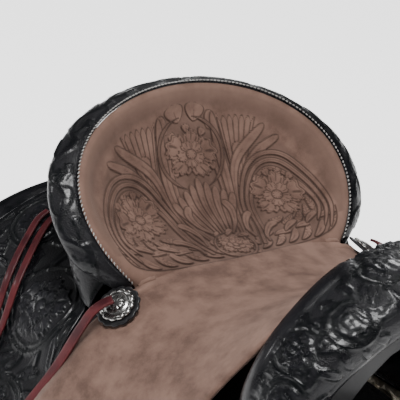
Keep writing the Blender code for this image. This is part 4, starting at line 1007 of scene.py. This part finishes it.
def rollPoint(angle, v):
    # v runs once round the roll's section: its inner edge, top, outer edge and underside
    point, out, up = rollFrame(angle)
    toEnd = rim["end"] - np.abs(angle)
    width = roll["endWidth"] + (roll["width"] - roll["endWidth"]) * smoothStep(toEnd / 0.40)
    height = 0.55 + 0.45 * smoothStep((width - 0.014) / 0.012)
    clear = 0.0006 * (1 - smoothStep(toEnd / 0.6))
    count = len(roll["rows"])
    table = [roll["rows"][k % count] for k in range(-2, count + 3)]
    start, rise, share = (throughKnots([(k - 2, row[i]) for k, row in enumerate(table)], v * count)
                          for i in range(3))
    reach = np.minimum(start + (width - start) * share + clear * (1 - share), width * 1.01)
    return point + out * reach[..., None] + up * (rise * height)[..., None]


def makeRoll():
    mesh = gridMesh("cantle_roll_leather", roll["around"], roll["stations"])
    flat = readPoints(mesh)
    angle = rim["end"] * roll["reach"] * (2 * flat[:, 1] - 1)
    v = flat[:, 0]
    points = rollPoint(angle, v)
    writePoints(mesh, points)
    point, out, up = rollFrame(angle)
    faceOut(mesh, lambda p: p - (point + out * 0.012 - up * 0.003))
    normals = readNormals(mesh)
    field = newField(points, normals, (0.2, 0, 1), rollPoint, roll["cut"])
    top = smoothStep((v - 0.085) / 0.02) * smoothStep((0.455 - v) / 0.02)
    for k in range(-9, 10):
        flip = 1 if k % 2 else -1
        middle = 0.215 * k
        frond(field, [(middle - 0.05, 0.27 + 0.05 * flip), (middle + 0.04, 0.27 + 0.13 * flip),
                      (middle + 0.13, 0.27 + 0.12 * flip)], 0.002, 0.0085, hatch=5)
        frond(field, [(middle - 0.15, 0.27 + 0.12 * flip), (middle - 0.05, 0.27 + 0.03 * flip),
                      (middle + 0.06, 0.27 - 0.10 * flip), (middle + 0.15, 0.27 - 0.11 * flip)], 0.003,
                      0.0110)
        if k % 3 == 0:
            flower(field, (middle + 0.02, 0.27 + 0.02 * flip), 0.0090, 0.3 * k, 5)
    keepGround(field, top)
    field["height"] *= np.where(top < 0.02, 0.0, 1.0)
    field["ink"] *= np.where(top < 0.02, 0.0, 1.0)
    borderLines(field, v, (0.078, 0.460), 0.008)
    applyField(mesh, field, points, normals, roll["depth"])
    mergeSeams(mesh, fill=True)
    finishPiece("cantle_roll_leather", mesh, "tooled", replaced=["cantle_roll"])


stitch = {"pitch": 0.0043, "length": 0.0038, "width": 0.0015, "tilt": 0.55, "lift": 0.0013,
          "inset": 0.0012, "reach": 0.99, "stations": 220}


def makeRope():
    # short slanted stitches along the roll's inner edge, one every pitch
    angle = np.linspace(-stitch["reach"], stitch["reach"], stitch["stations"]) * rim["end"]
    point, out, up = rollFrame(angle)
    path = point - out * stitch["inset"] + up * stitch["lift"]
    lengths = runLengths(path)
    at = lambda table, length: Vector([np.interp(length, lengths, table[:, k]) for k in range(3)])
    size = (stitch["length"], stitch["width"], stitch["width"], 2)
    turn = Matrix.Rotation(stitch["tilt"], 4, "Z") @ Matrix.Diagonal(size) * 0.5
    bm = bmesh.new()
    for i in range(int(lengths[-1] / stitch["pitch"])):
        length = (i + 0.5) * stitch["pitch"]
        side, above = at(out, length).normalized(), at(up, length).normalized()
        frameOf = Matrix((above.cross(side), side, above)).transposed().to_4x4()
        frameOf.translation = at(path, length)
        bmesh.ops.create_uvsphere(bm, u_segments=6, v_segments=5, radius=1.0, matrix=frameOf @ turn)
    mesh = intoMesh(bm, bpy.data.meshes.new("rope_stitch"))
    writeAttributes(mesh)
    finishPiece("rope_stitch", mesh, "thread")


cantleBack = {"reach": 2.08, "across": 240, "down": 60, "thick": 0.0028, "depth": 0.0009, "cut": 0.0014}


def cantleBackPoint(angle, t):
    point, out, up = rollFrame(angle)
    top = point + out * 0.0105 - up * 0.0125
    turn = angle / cantleBack["reach"] * math.pi / 2
    x = -0.051 - 0.113 * np.cos(turn)
    s = 0.140 * np.abs(np.sin(turn))
    foot = onBack(x, s, jockeyTop(x, s) + 0.0040, np.where(angle > 0, 1, -1))
    return top + (foot - top) * t[:, None] + out * (0.006 * np.sin(math.pi * t))[:, None]


def makeCantleBack():
    mesh = gridMesh("cantle_back_leather", cantleBack["across"], cantleBack["down"])
    flat = readPoints(mesh)
    angle, t = (2 * flat[:, 0] - 1) * cantleBack["reach"], flat[:, 1]
    points = cantleBackPoint(angle, t)
    writePoints(mesh, points)
    outward = np.stack([np.full_like(angle, -0.5), 0.8 * np.sin(angle), 0 * angle], axis=1)
    faceOut(mesh, lambda p: outward)
    normals = readNormals(mesh)
    points = points + normals * cantleBack["thick"]
    field = newField(points, normals, (0, 0, 1), cantleBackPoint, cantleBack["cut"])
    for k in range(-3, 4):
        bloom(field, (0.52 * k, 0.50), 0.017 if k % 2 else 0.020, 0.4 * k, 8, 0.019, 0.010,
              0.6 * (1 if k > 0 else -1))
    into = np.minimum(np.minimum(t, 1 - t) * 0.06, (1 - np.abs(flat[:, 0] * 2 - 1)) * 0.2)
    mask = smoothStep((into - 0.005) / 0.001)
    plainBeyond(field, mask)
    borderLines(field, into, (0.0035, 0.0052))
    applyField(mesh, field, points, normals, cantleBack["depth"])
    finishPiece("cantle_back_leather", mesh, "tooled", replaced=["cantle_back"],
                thickness=cantleBack["thick"])


makeRoll()
makeRope()
makeCantleBack()
print("cantle made")


# leather panels on the horse's back
panels = {
    "rear_jockey": {"cells": (170, 200), "thick": 0.0034, "depth": 0.0011, "cut": 0.0015,
                    "lines": (0.0040, 0.0066),
                    "plain": 0.0085, "outline": [
                        (-0.222, 0.014), (-0.190, 0.004), (-0.150, 0.004), (-0.138, 0.040), (-0.104, 0.092),
                        (-0.062, 0.140), (-0.042, 0.185), (-0.027, 0.240), (-0.031, 0.300), (-0.066, 0.340),
                        (-0.112, 0.350), (-0.162, 0.342), (-0.208, 0.310), (-0.234, 0.250), (-0.242, 0.170),
                        (-0.237, 0.080)],
                    "blooms": [(-0.104, 0.168, 0.031, 0.4), (-0.198, 0.118, 0.024, 1.3),
                               (-0.078, 0.268, 0.029, 2.2), (-0.160, 0.230, 0.028, 0.9),
                               (-0.212, 0.190, 0.018, 2.6), (-0.128, 0.314, 0.021, 1.7),
                               (-0.184, 0.052, 0.023, 0.2), (-0.198, 0.288, 0.013, 1.1)]},
    "front_jockey": {"cells": (104, 116), "thick": 0.0034, "depth": 0.0011, "cut": 0.0014,
                     "lines": (0.0040, 0.0066),
                     "plain": 0.0085, "outline": [
                         (0.178, 0.150), (0.225, 0.138), (0.275, 0.150), (0.312, 0.185), (0.322, 0.235),
                         (0.300, 0.285), (0.250, 0.312), (0.196, 0.308), (0.176, 0.250), (0.172, 0.190)],
                     "blooms": [(0.214, 0.180, 0.021, 0.3), (0.213, 0.272, 0.022, 1.1),
                                (0.282, 0.200, 0.018, 2.0), (0.285, 0.265, 0.016, 0.8),
                                (0.222, 0.225, 0.014, 2.4)]},
    "skirt": {"cells": (210, 150), "thick": 0.0046, "depth": 0.0010, "cut": 0.0018, "lines": (0.0050, 0.0085),
              "plain": 0.011, "outline": [
                  (-0.245, 0.010), (-0.150, 0.008), (0.050, 0.008), (0.215, 0.010), (0.285, 0.035),
                  (0.335, 0.105), (0.352, 0.200), (0.338, 0.300), (0.285, 0.372), (0.180, 0.396),
                  (0.030, 0.402), (-0.120, 0.402), (-0.232, 0.390), (-0.278, 0.338), (-0.293, 0.250),
                  (-0.290, 0.150), (-0.270, 0.050)],
              "blooms": [(-0.256, 0.290, 0.018, 0.4), (-0.222, 0.346, 0.020, 1.0),
                         (-0.168, 0.366, 0.016, 2.0), (-0.268, 0.220, 0.014, 0.2),
                         (0.296, 0.330, 0.022, 1.4), (0.250, 0.350, 0.020, 0.6), (0.190, 0.352, 0.020, 2.2),
                         (0.328, 0.262, 0.017, 0.9), (0.122, 0.368, 0.019, 1.8),
                         (-0.112, 0.374, 0.017, 0.3), (0.318, 0.130, 0.017, 2.6), (0.262, 0.090, 0.022, 1.2),
                         (0.180, 0.100, 0.022, 0.5), (0.335, 0.190, 0.014, 1.0),
                         (-0.264, 0.130, 0.014, 1.6)]}}


def toolPanel(field, blooms, side):
    for k, (x, s, size, turn) in enumerate(blooms):
        lean = 0.6 if k % 2 else -0.6
        bloom(field, (x, s), size, turn * side, 12, size * 1.15, size * 0.44, lean * side,
              6 if k % 3 else 5, hatch=0.0034)
    for k, (x, s, size, turn) in enumerate(blooms):   # the flowers come over their neighbours' leaves
        band(field, (x, s), size * 1.32, 0.0036, turn + 0.5, 5.6)
        flower(field, (x, s), size, turn * side, 6 if k % 3 else 5)


def offBack(s, side):
    lean = backSlope(s)
    return np.stack([0 * s, side * np.sin(lean), np.cos(lean)], axis=1)


def makePanel(name, word, side, setup):
    mesh = gridMesh(f"{name}_{word}_leather", *setup["cells"])
    flat = readPoints(mesh)
    x, s, into = outlineMap(flat[:, 0], flat[:, 1], smoothCurve(setup["outline"], 8, True))
    lift = layer["skirtTop"] if name == "skirt" else jockeyTop(x, s)
    points = onBack(x, s, lift, side)
    writePoints(mesh, points)
    faceOut(mesh, lambda p: offBack(s, side))
    normals = readNormals(mesh)
    field = planField(x, s, side, setup["cut"])
    toolPanel(field, setup["blooms"], side)
    mask = smoothStep((into - setup["plain"]) / 0.0012 + 0.5)
    plainBeyond(field, mask)
    borderLines(field, into, setup["lines"], 0.0008)
    rounding = 0.0016 * np.maximum(1 - into / 0.0016, 0) ** 2
    applyField(mesh, field, points, normals, setup["depth"], -rounding)
    mergeSeams(mesh, 2e-5)
    finishPiece(f"{name}_{word}_leather", mesh, "tooled", replaced=[f"{name}_{word}"],
                thickness=setup["thick"])


fleece = {"cells": (200, 130), "top": 0.0136, "thick": 0.0128, "lump": 0.0032, "fringe": 0.0036, "curl": 85,
          "lock": 210, "ridge": 0.014, "share": 0.985}


def makeFleecePiece(word, side):
    ridge, share = fleece["ridge"], fleece["share"]
    outline = np.array([(x * share, ridge + (s - ridge) * share) for x, s in panels["skirt"]["outline"]])
    mesh = gridMesh(f"skirt_fleece_{word}_wool", *fleece["cells"])
    flat = readPoints(mesh)
    x, s, into = outlineMap(flat[:, 0], flat[:, 1], smoothCurve(outline, 8, True))
    points = onBack(x, s, fleece["top"], side)
    writePoints(mesh, points)
    faceOut(mesh, lambda p: offBack(s, side))
    lumps = np.array([noise.noise([v * fleece["curl"] for v in p]) + 0.6
                      * noise.noise([v * fleece["lock"] for v in p])
                      for p in points])
    nearEdge = np.exp(-into / 0.006)
    sunk = -fleece["lump"] * np.abs(lumps) - 0.003 * nearEdge
    middle = np.array([x.mean(), s.mean()])
    push = nearEdge * (fleece["fringe"] * (0.4 + 1.2 * np.abs(lumps)))
    arm = np.stack([x, s], axis=1) - middle
    arm /= np.maximum(np.linalg.norm(arm, axis=1)[:, None], 1e-6)
    s2 = np.clip(s + arm[:, 1] * push, 0.004, 1)
    points = onBack(x + arm[:, 0] * push, s2, fleece["top"] + sunk, side)
    writePoints(mesh, points)
    mergeSeams(mesh, 2e-5)
    piece = finishPiece(f"skirt_fleece_{word}_wool", mesh, "fleece", replaced=[f"skirt_fleece_{word}"],
                        thickness=fleece["thick"])


for word, side in sides.items():
    for name, setup in panels.items():
        makePanel(name, word, side, setup)
    makeFleecePiece(word, side)
print("jockeys, skirts and fleece made")


# fork cover
forkMake = {"around": 64, "along": 330, "thick": 0.0032, "depth": 0.0012, "cut": 0.0016, "bead": 0.0034,
            "beadMiddle": 0.0085, "beadHalf": 0.0088, "beadTip": 0.235, "archLength": 0.23, "hatch": 0.0036,
            "alongMiddle": (0.0035, 0.0, 0.006, 0.030, 0.059, 0.082, 0.088, 0.086),
            "depths": (0.024, 0.004, 0.0, -0.006, -0.005, 0.004, 0.018, 0.030), "length": 0.088,
            "shorter": 0.022}


def forkLength(turn):
    return forkMake["length"] - forkMake["shorter"] * smoothStep(np.abs(turn) * 1.3)


def forkCover(q, turn):
    # q runs over the cover from its rear lip, over the top, to the front lip
    long = forkLength(turn)
    alongs = [0.0035, 0.0, 0.006, 0.030, long * 0.68, long * 0.93, long, long - 0.002]
    along = throughKnots(list(enumerate(alongs)), q)
    return forkPoint(along, turn, throughKnots(list(enumerate(forkMake["depths"])), q))


def toolFork(field):
    # two staggered rows of flowers down each shoulder, over a row of leaves beside the bead
    hatch = forkMake["hatch"]
    rows = [((4.3 if k % 2 else 3.2, 0.16 + 0.19 * k), 0.0165 if k % 2 else 0.019, 0.5 * k) for k in range(5)]
    for side in (-1, 1):
        for (q, spot), size, turn in rows:
            bloom(field, (q, spot * side), size, turn, 9, 0.024, 0.011, 0.6 * side, 5, hatch=hatch)
        for k in range(8):
            spot = (0.10 + 0.11 * k) * side
            leaf(field, (2.15, spot), 1.9 * side, 0.024, 0.012, 0.2 * side, hatch=hatch)
    bloom(field, (3.3, 0.0), 0.020, 0.0, 10, 0.022, 0.011, 0.6, 6, hatch=hatch)
    for side in (-1, 1):
        for (q, spot), size, turn in rows:
            band(field, (q, spot * side), 0.0225, 0.0036, turn, 5.6)
            flower(field, (q, spot * side), size, turn, 6)


def makeForkCover():
    mesh = gridMesh("fork_cover_leather", forkMake["around"], forkMake["along"])
    flat = readPoints(mesh)
    q, turn = flat[:, 0] * 7, 2 * flat[:, 1] - 1
    points = forkCover(q, turn)
    writePoints(mesh, points)
    inner = forkPoint(0.5 * forkLength(turn), turn, 0.03 + 0 * q)
    faceOut(mesh, lambda p: p - inner)
    normals = readNormals(mesh)
    field = newField(points, normals, (0, 0, 1), forkCover, forkMake["cut"])
    toolFork(field)
    along = throughKnots(list(enumerate(forkMake["alongMiddle"])), q)
    pastTip = np.maximum(forkMake["beadTip"] - np.abs(turn), 0) * forkMake["archLength"]
    onTop = (q > 0.6) & (q < 3.2)
    reach = np.hypot(along - forkMake["beadMiddle"], pastTip) / forkMake["beadHalf"]
    bead = np.sqrt(np.maximum(1 - reach ** 2, 0)) * onTop
    away = (reach - 1) * forkMake["beadHalf"]
    mask = np.where(onTop, smoothStep(away / 0.0015), smoothStep((q - 0.9) / 0.2))
    plainBeyond(field, mask * smoothStep((6.7 - q) / 0.2))
    borderLines(field, np.where(onTop, away, 1.0), (0.0006, 0.0036), 0.0009)
    applyField(mesh, field, points, normals, forkMake["depth"], bead * forkMake["bead"])
    finishPiece("fork_cover_leather", mesh, "tooled", replaced=["fork_cover"], thickness=forkMake["thick"])


makeForkCover()
print("fork made")


# turned pieces: conchos, rosettes, horn
def spinProfile(name, profile, steps):
    bm = bmesh.new()
    verts = [bm.verts.new((r, 0, z)) for r, z in profile]
    edges = [bm.edges.new(pair) for pair in zip(verts, verts[1:])]
    bmesh.ops.spin(bm, geom=verts + edges, cent=(0, 0, 0), axis=(0, 0, 1), angle=2 * math.pi, steps=steps,
                   use_merge=True)
    bmesh.ops.remove_doubles(bm, verts=bm.verts, dist=1e-6)
    bmesh.ops.recalc_face_normals(bm, faces=bm.faces)
    if bm.calc_volume(signed=True) < 0:
        bmesh.ops.reverse_faces(bm, faces=bm.faces)
    return intoMesh(bm, bpy.data.meshes.new(name))


def placeMesh(mesh, frameOf):
    mesh.transform(frameOf)
    mesh.update()


# the seat's concho has the way it faces and its place, the others a place on the horse's back
conchoPlaces = {"seat": ((0.08, 0.60, 0.79), (-0.0174, 0.1517, 0.0262)), "rear": (-0.190, 0.275),
                "front": (0.262, 0.255)}


def backFrame(x, s, d, side):
    # a frame that stands off the horse's back
    at = lambda a, b: onBack(np.array([a]), np.array([b]), np.array([d]), side)[0]
    origin = Vector(at(x, s))
    forward = Vector(at(x + 0.02, s) - at(x - 0.02, s)).normalized()
    down = Vector(at(x, s + 0.02) - at(x, s - 0.02)).normalized()
    out = (forward.cross(down) * side).normalized()
    down = out.cross(forward) * side
    made = Matrix((forward, down * side, out)).transposed().to_4x4()
    made.translation = origin
    return made


def conchoFrame(place, side):
    if place == "seat":
        out, spot = (Vector((x, y * side, z)) for x, y, z in conchoPlaces["seat"])
        made = out.normalized().to_track_quat("Z", "Y").to_matrix().to_4x4()
        made.translation = spot
        return made
    x, s = conchoPlaces[place]
    return backFrame(x, s, float(jockeyTop(np.array([x]), np.array([s]))[0]) + 0.0015, side)


concho = {"scallops": 12, "petals": 5, "steps": 96, "rings": (0.0128, 0.0080),
          "rosetteScallops": 14, "rosetteSteps": 84,
          "profile": [(0.0, 0.0030), (0.0145, 0.0030), (0.0172, 0.0033), (0.0178, 0.0040), (0.0174, 0.0048),
                      (0.0164, 0.0056), (0.0152, 0.0060), (0.0138, 0.0062), (0.0128, 0.0058),
                      (0.0118, 0.0066), (0.0106, 0.0072), (0.0092, 0.0076), (0.0080, 0.0072),
                      (0.0070, 0.0078), (0.0050, 0.0084), (0.0030, 0.0087), (0.0, 0.0088)],
          "rosette": [(0.0, 0.0), (0.0150, 0.0), (0.0205, 0.0), (0.0220, 0.0004), (0.0225, 0.0013),
                      (0.0218, 0.0023), (0.0204, 0.0028), (0.0188, 0.0026), (0.0100, 0.0026),
                      (0.0, 0.0026)]}


def scallops(mesh, count, sharp):
    # a turned mesh's points, radii and bearings, and a wave with count lobes round it
    points = readPoints(mesh)
    r, bearing = np.hypot(points[:, 0], points[:, 1]), np.arctan2(points[:, 1], points[:, 0])
    return points, r, bearing, np.abs(np.cos(bearing * count / 2)) ** sharp


def makeRosette(place, word, side):
    name = f"{place}_rosette_{word}"
    mesh = spinProfile(f"{name}_leather", concho["rosette"], concho["rosetteSteps"])
    points, r, bearing, wave = scallops(mesh, concho["rosetteScallops"], 0.7)
    outer = smoothStep((r - 0.018) / 0.005)
    points[:, :2] *= (1 + outer * 0.07 * (wave - 0.75))[:, None]
    writePoints(mesh, points)
    # painted highlight on the scallops' lobes; the colour is darker towards the notches between them
    writeAttributes(mesh, ink=outer * (1 - wave) * 0.6, pale=outer * wave * 0.6)
    placeMesh(mesh, conchoFrame(place, side))
    finishPiece(f"{name}_leather", mesh, "plain", replaced=[name])


def makeConcho(place, word, side):
    name = f"{place}_concho_{word}"
    mesh = spinProfile(f"{name}_silver", concho["profile"], concho["steps"])
    points, r, bearing, wave = scallops(mesh, concho["scallops"], 0.6)
    outer = smoothStep((r - 0.013) / 0.004)
    petals = np.abs(np.cos(bearing * concho["petals"])) ** 0.5
    middle = 0.6 * smoothStep((r - 0.002) / 0.003) * smoothStep((0.0115 - r) / 0.002)
    points[:, :2] *= (1 + outer * 0.085 * (wave - 0.8))[:, None]
    top = points[:, 2] > 0.0045
    points[:, 2] += np.where(top, outer * 0.0009 * (wave - 0.6) + middle * 0.0008 * (petals - 0.6), 0)
    writePoints(mesh, points)
    rings = sum(np.exp(-((r - ring) / 0.0005) ** 2) for ring in concho["rings"])
    ink = np.maximum(outer * (1 - wave) * 1.3, middle * (1 - petals)) + rings * 0.6
    writeAttributes(mesh, ink=ink * top)
    placeMesh(mesh, conchoFrame(place, side))
    finishPiece(f"{name}_silver", mesh, "silver", replaced=[name])


horn = {"base": (0.214, 0.0, 0.170), "tilt": 0.16, "height": 0.078, "wraps": 9, "core": 0.0165,
        "wrapLow": 0.0225, "capClear": 0.0090,
        "waist": [(0, 0.0238), (0.25, 0.0206), (0.65, 0.0200), (1, 0.0228)], "capTop": 0.0115,
        "capRings": 46, "capCut": 0.0011, "capDepth": 0.0007, "capLines": (0.0320, 0.0340, 0.0385),
        "capEdge": [(0.0352, 0.0112), (0.0368, 0.0106), (0.0384, 0.0092), (0.0394, 0.0072), (0.0398, 0.0048),
                    (0.0396, 0.0030), (0.0388, 0.0008), (0.0378, -0.0004), (0.0362, -0.0006),
                    (0.0346, -0.0004), (0.0345, 0.0055), (0.0, 0.0055)]}


def hornFrame(height):
    return (Matrix.Translation(Vector(horn["base"])) @ Matrix.Rotation(horn["tilt"], 4, "Y")
            @ Matrix.Translation((0, 0, height)))


def makeHornWrap():
    low, high = horn["wrapLow"], horn["height"] - horn["capClear"]
    outer = []
    rows = horn["wraps"] * 8
    for k in range(rows + 1):
        share = k / rows
        z = low + (high - low) * share
        waist = throughKnots(horn["waist"], np.array([share]))[0]
        outer.append((waist - 0.0010 * abs(math.cos(math.pi * k / 8)) ** 6, z))
    start = (horn["core"], low + 0.001)
    profile = [start] + outer + [(horn["core"], high), start]
    mesh = spinProfile("horn_wrap_leather", profile, 64)
    points = readPoints(mesh)
    share = (points[:, 2] - low) / (high - low) * horn["wraps"]
    dark = np.abs(np.cos(math.pi * share)) ** 10
    # darker in the grooves between the wraps, and a painted highlight on the wraps
    writeAttributes(mesh, ink=dark * 0.9, pale=(1 - dark) * 0.4)
    placeMesh(mesh, hornFrame(0))
    finishPiece("horn_wrap_leather", mesh, "plain", replaced=["horn_wrap"])


def makeHornCap():
    top, count = horn["capTop"], horn["capRings"]
    rings = [(0.0, top)] + [(0.0008 + 0.0332 * k / count, top) for k in range(count + 1)]
    mesh = spinProfile("horn_cap_leather", rings + horn["capEdge"], 192)
    points = readPoints(mesh)
    normals = readNormals(mesh)
    place = lambda a, b: np.stack([a, b, 0 * a + top], axis=1)
    field = newField(points, normals, (1, 0, 0), place, horn["capCut"])
    bloom(field, (0.0, 0.0), 0.0135, 0.3, 12, 0.0125, 0.0075, 0.5, 6)
    r = np.hypot(points[:, 0], points[:, 1])
    mask = smoothStep((0.0315 - r) / 0.001) * (points[:, 2] > 0.011)
    plainBeyond(field, mask)
    borderLines(field, r, horn["capLines"])
    applyField(mesh, field, points, normals, horn["capDepth"])
    placeMesh(mesh, hornFrame(horn["height"]))
    finishPiece("horn_cap_leather", mesh, "tooled", replaced=["horn_cap"])


for word, side in sides.items():
    for place in ("seat", "rear", "front"):
        makeRosette(place, word, side)
        makeConcho(place, word, side)
makeHornWrap()
makeHornCap()
print("conchos and horn made")


# fenders
strap = {"fenderX": 0.060, "hangY": 0.3310, "fenderBottom": -0.510, "thick": 0.0034, "depth": 0.0011,
         "cut": 0.0016, "cells": (110, 270),
         "halfWidths": [(0.0, 0.036), (0.060, 0.040), (0.105, 0.052), (0.150, 0.082), (0.195, 0.098),
                        (0.240, 0.100), (0.290, 0.086), (0.335, 0.058), (0.370, 0.040)]}


def hangingPath():
    spots = [(0.303, 0.0285), (0.330, 0.0310), (0.360, 0.0375), (0.390, 0.0455)]
    path = [tuple(onBack(np.array([0.0]), np.array([s]), np.array([d]), 1)[0][1:]) for s, d in spots]
    y, bottom = strap["hangY"], strap["fenderBottom"]
    path += [(y - 0.0008, -0.262), (y, -0.320), (y, -0.420), (y, bottom)]
    return smoothCurve(path, 16)


def alongPath(path, t, d):
    # (y, z) at length t along a path and d to its outer side
    lengths = runLengths(path)
    ahead = unit(np.gradient(path, axis=0))
    out = np.stack([-ahead[:, 1], ahead[:, 0]], axis=1)
    pick = lambda table, k: np.interp(t, lengths, table[:, k])
    return pick(path, 0) + d * pick(out, 0), pick(path, 1) + d * pick(out, 1), lengths[-1]


def makeFender(word, side):
    path = hangingPath()
    total = alongPath(path, np.zeros(1), 0)[2]
    mesh = gridMesh(f"fender_{word}_leather", *strap["cells"])
    flat = readPoints(mesh)
    t = flat[:, 1] * total
    half = throughKnots(strap["halfWidths"] + [(total, 0.037)], t)
    x = strap["fenderX"] + (2 * flat[:, 0] - 1) * half
    y, z, _ = alongPath(path, t, strap["thick"])
    points = np.stack([x, side * y, z], axis=1)
    writePoints(mesh, points)
    faceOut(mesh, lambda p: np.tile([0.0, float(side), 0.2], (len(p), 1)))
    normals = readNormals(mesh)
    field = planField(x, t, side, strap["cut"])
    middle = strap["fenderX"]
    toolPanel(field, [(middle - 0.038, 0.186, 0.026, 0.4), (middle + 0.040, 0.200, 0.024, 1.4),
                      (middle + 0.004, 0.256, 0.028, 0.9), (middle - 0.052, 0.246, 0.020, 2.0),
                      (middle + 0.058, 0.258, 0.019, 2.4), (middle, 0.130, 0.022, 0.1),
                      (middle, 0.318, 0.021, 1.8), (middle, 0.368, 0.015, 0.5),
                      (middle, 0.080, 0.016, 2.2)], side)
    into = np.minimum((1 - np.abs(2 * flat[:, 0] - 1)) * half, np.minimum(t, total - t))
    mask = smoothStep((into - 0.0085) / 0.0012 + 0.5)
    plainBeyond(field, mask)
    borderLines(field, into, (0.0040, 0.0066), 0.0008)
    rounding = 0.0014 * np.maximum(1 - into / 0.0016, 0) ** 2
    applyField(mesh, field, points, normals, strap["depth"], -rounding)
    finishPiece(f"fender_{word}_leather", mesh, "tooled", f"fender_{word}", [f"fender_{word}"],
                strap["thick"])


# frame nodes that keep their shape, merged, rounded and given their finish
refined = {"tree_bar": ("plain", 0.0020), "tree_cantle": ("wood", 0.0015), "tree_fork": ("plain", 0.0020),
           "ground_seat": ("steel", 0.0003), "horn_core": ("steel", 0.0006),
           "rigging_plate": ("steel", 0.0007), "breast_collar_dee": ("steel", 0.0),
           "stirrup_bolt": ("steel", 0.0010), "latigo": ("plain", 0.0006), "off_billet": ("plain", 0.0006),
           "flank_billet": ("plain", 0.0006), "stirrup_leather": ("plain", 0.0008),
           "hobble_strap": ("plain", 0.0006), "stirrup_tread": ("plain", 0.0008), "stirrup": ("wood", 0.0022)}


def refine(node, look, bevel):
    # a merged, rounded copy of a frame node, on the same body
    mesh = frame["nodes"][node].data.copy()
    mergeSeams(mesh, 1e-5)
    bm = bmesh.new()
    bm.from_mesh(mesh)
    bmesh.ops.dissolve_limit(bm, angle_limit=0.02, verts=bm.verts, edges=bm.edges)
    intoMesh(bm, mesh)
    body = next(name for name, held in frame["record"]["behaviour"]["bodies"].items() if node in held)
    piece = finishPiece(f"{node}_{look}", mesh, look, body, [node], angle=0.9)
    if bevel:
        rounded = piece.modifiers.new("rounded", "BEVEL")
        rounded.width = bevel
        rounded.segments = 2
        rounded.limit_method = "ANGLE"
        rounded.angle_limit = 0.7
    writeAttributes(mesh)


def lookFor(node):
    return next((value for key, value in sorted(refined.items(), key=lambda item: -len(item[0]))
                 if key in node), None)


for word, side in sides.items():
    makeFender(word, side)
replacedWords = ("rosette", "concho", "jockey", "skirt", "fender", "string", "seat_cover", "fork_cover",
                 "horn_cap", "horn_wrap", "cantle_roll", "cantle_back")
for node in sorted(frame["nodes"]):
    if not any(text in node for text in replacedWords):
        refine(node, *lookFor(node))
print("fenders, rigging, stirrups and tree made")


# floor, light and finish
studio = {"floorZ": cadBox[0][2] - 0.002, "floorSize": 40.0, "floorGlow": 2.2, "world": 0.10,
          "lights": [("keyLight", (0.5, -0.5, 2.3), 0.75, 60.0), ("fillLight", (1.9, 0.6, 1.3), 0.8, 5.0),
                     ("sideLight", (-1.3, -1.7, 1.3), 0.35, 9.0),
                     ("backLight", (-1.6, 1.4, 1.8), 0.40, 16.0)]}


def makeStudio(setup):
    bm = bmesh.new()
    bmesh.ops.create_grid(bm, x_segments=1, y_segments=1, size=setup["floorSize"])
    bmesh.ops.translate(bm, verts=bm.verts, vec=(0, 0, setup["floorZ"]))
    mesh = intoMesh(bm, bpy.data.meshes.new("floor"))
    floor = bpy.data.objects.new("floor", mesh)
    bpy.context.collection.objects.link(floor)
    material, tree, shader, where = newMaterial("paleFloor", Roughness=0.9)
    tone = spread(tree, noiseOf(tree, where, 3.0), 0.3, 0.7)
    tree.links.new(mixColour(tree, tone, (0.93, 0.93, 0.93, 1), (0.95, 0.95, 0.95, 1)),
                   shader.inputs["Base Color"])
    shader.inputs["Emission Color"].default_value = (1, 1, 1, 1)
    shader.inputs["Emission Strength"].default_value = setup["floorGlow"]
    mesh.materials.append(material)
    world = bpy.context.scene.world or bpy.data.worlds.new("studio")
    bpy.context.scene.world = world
    world.use_nodes = True
    backdrop = world.node_tree.nodes["Background"]
    backdrop.inputs["Color"].default_value = (1.0, 1.0, 1.0, 1)
    backdrop.inputs["Strength"].default_value = setup["world"]
    for name, place, size, power in setup["lights"]:
        light = bpy.data.lights.new(name, "AREA")
        light.shape = "DISK"
        light.size = size
        light.energy = power
        made = bpy.data.objects.new(name, light)
        bpy.context.collection.objects.link(made)
        made.location = place
        made.rotation_euler = (Vector((0, 0, 0.05)) - Vector(place)).to_track_quat("-Z", "Y").to_euler()


makeStudio(studio)
print("scene ready")
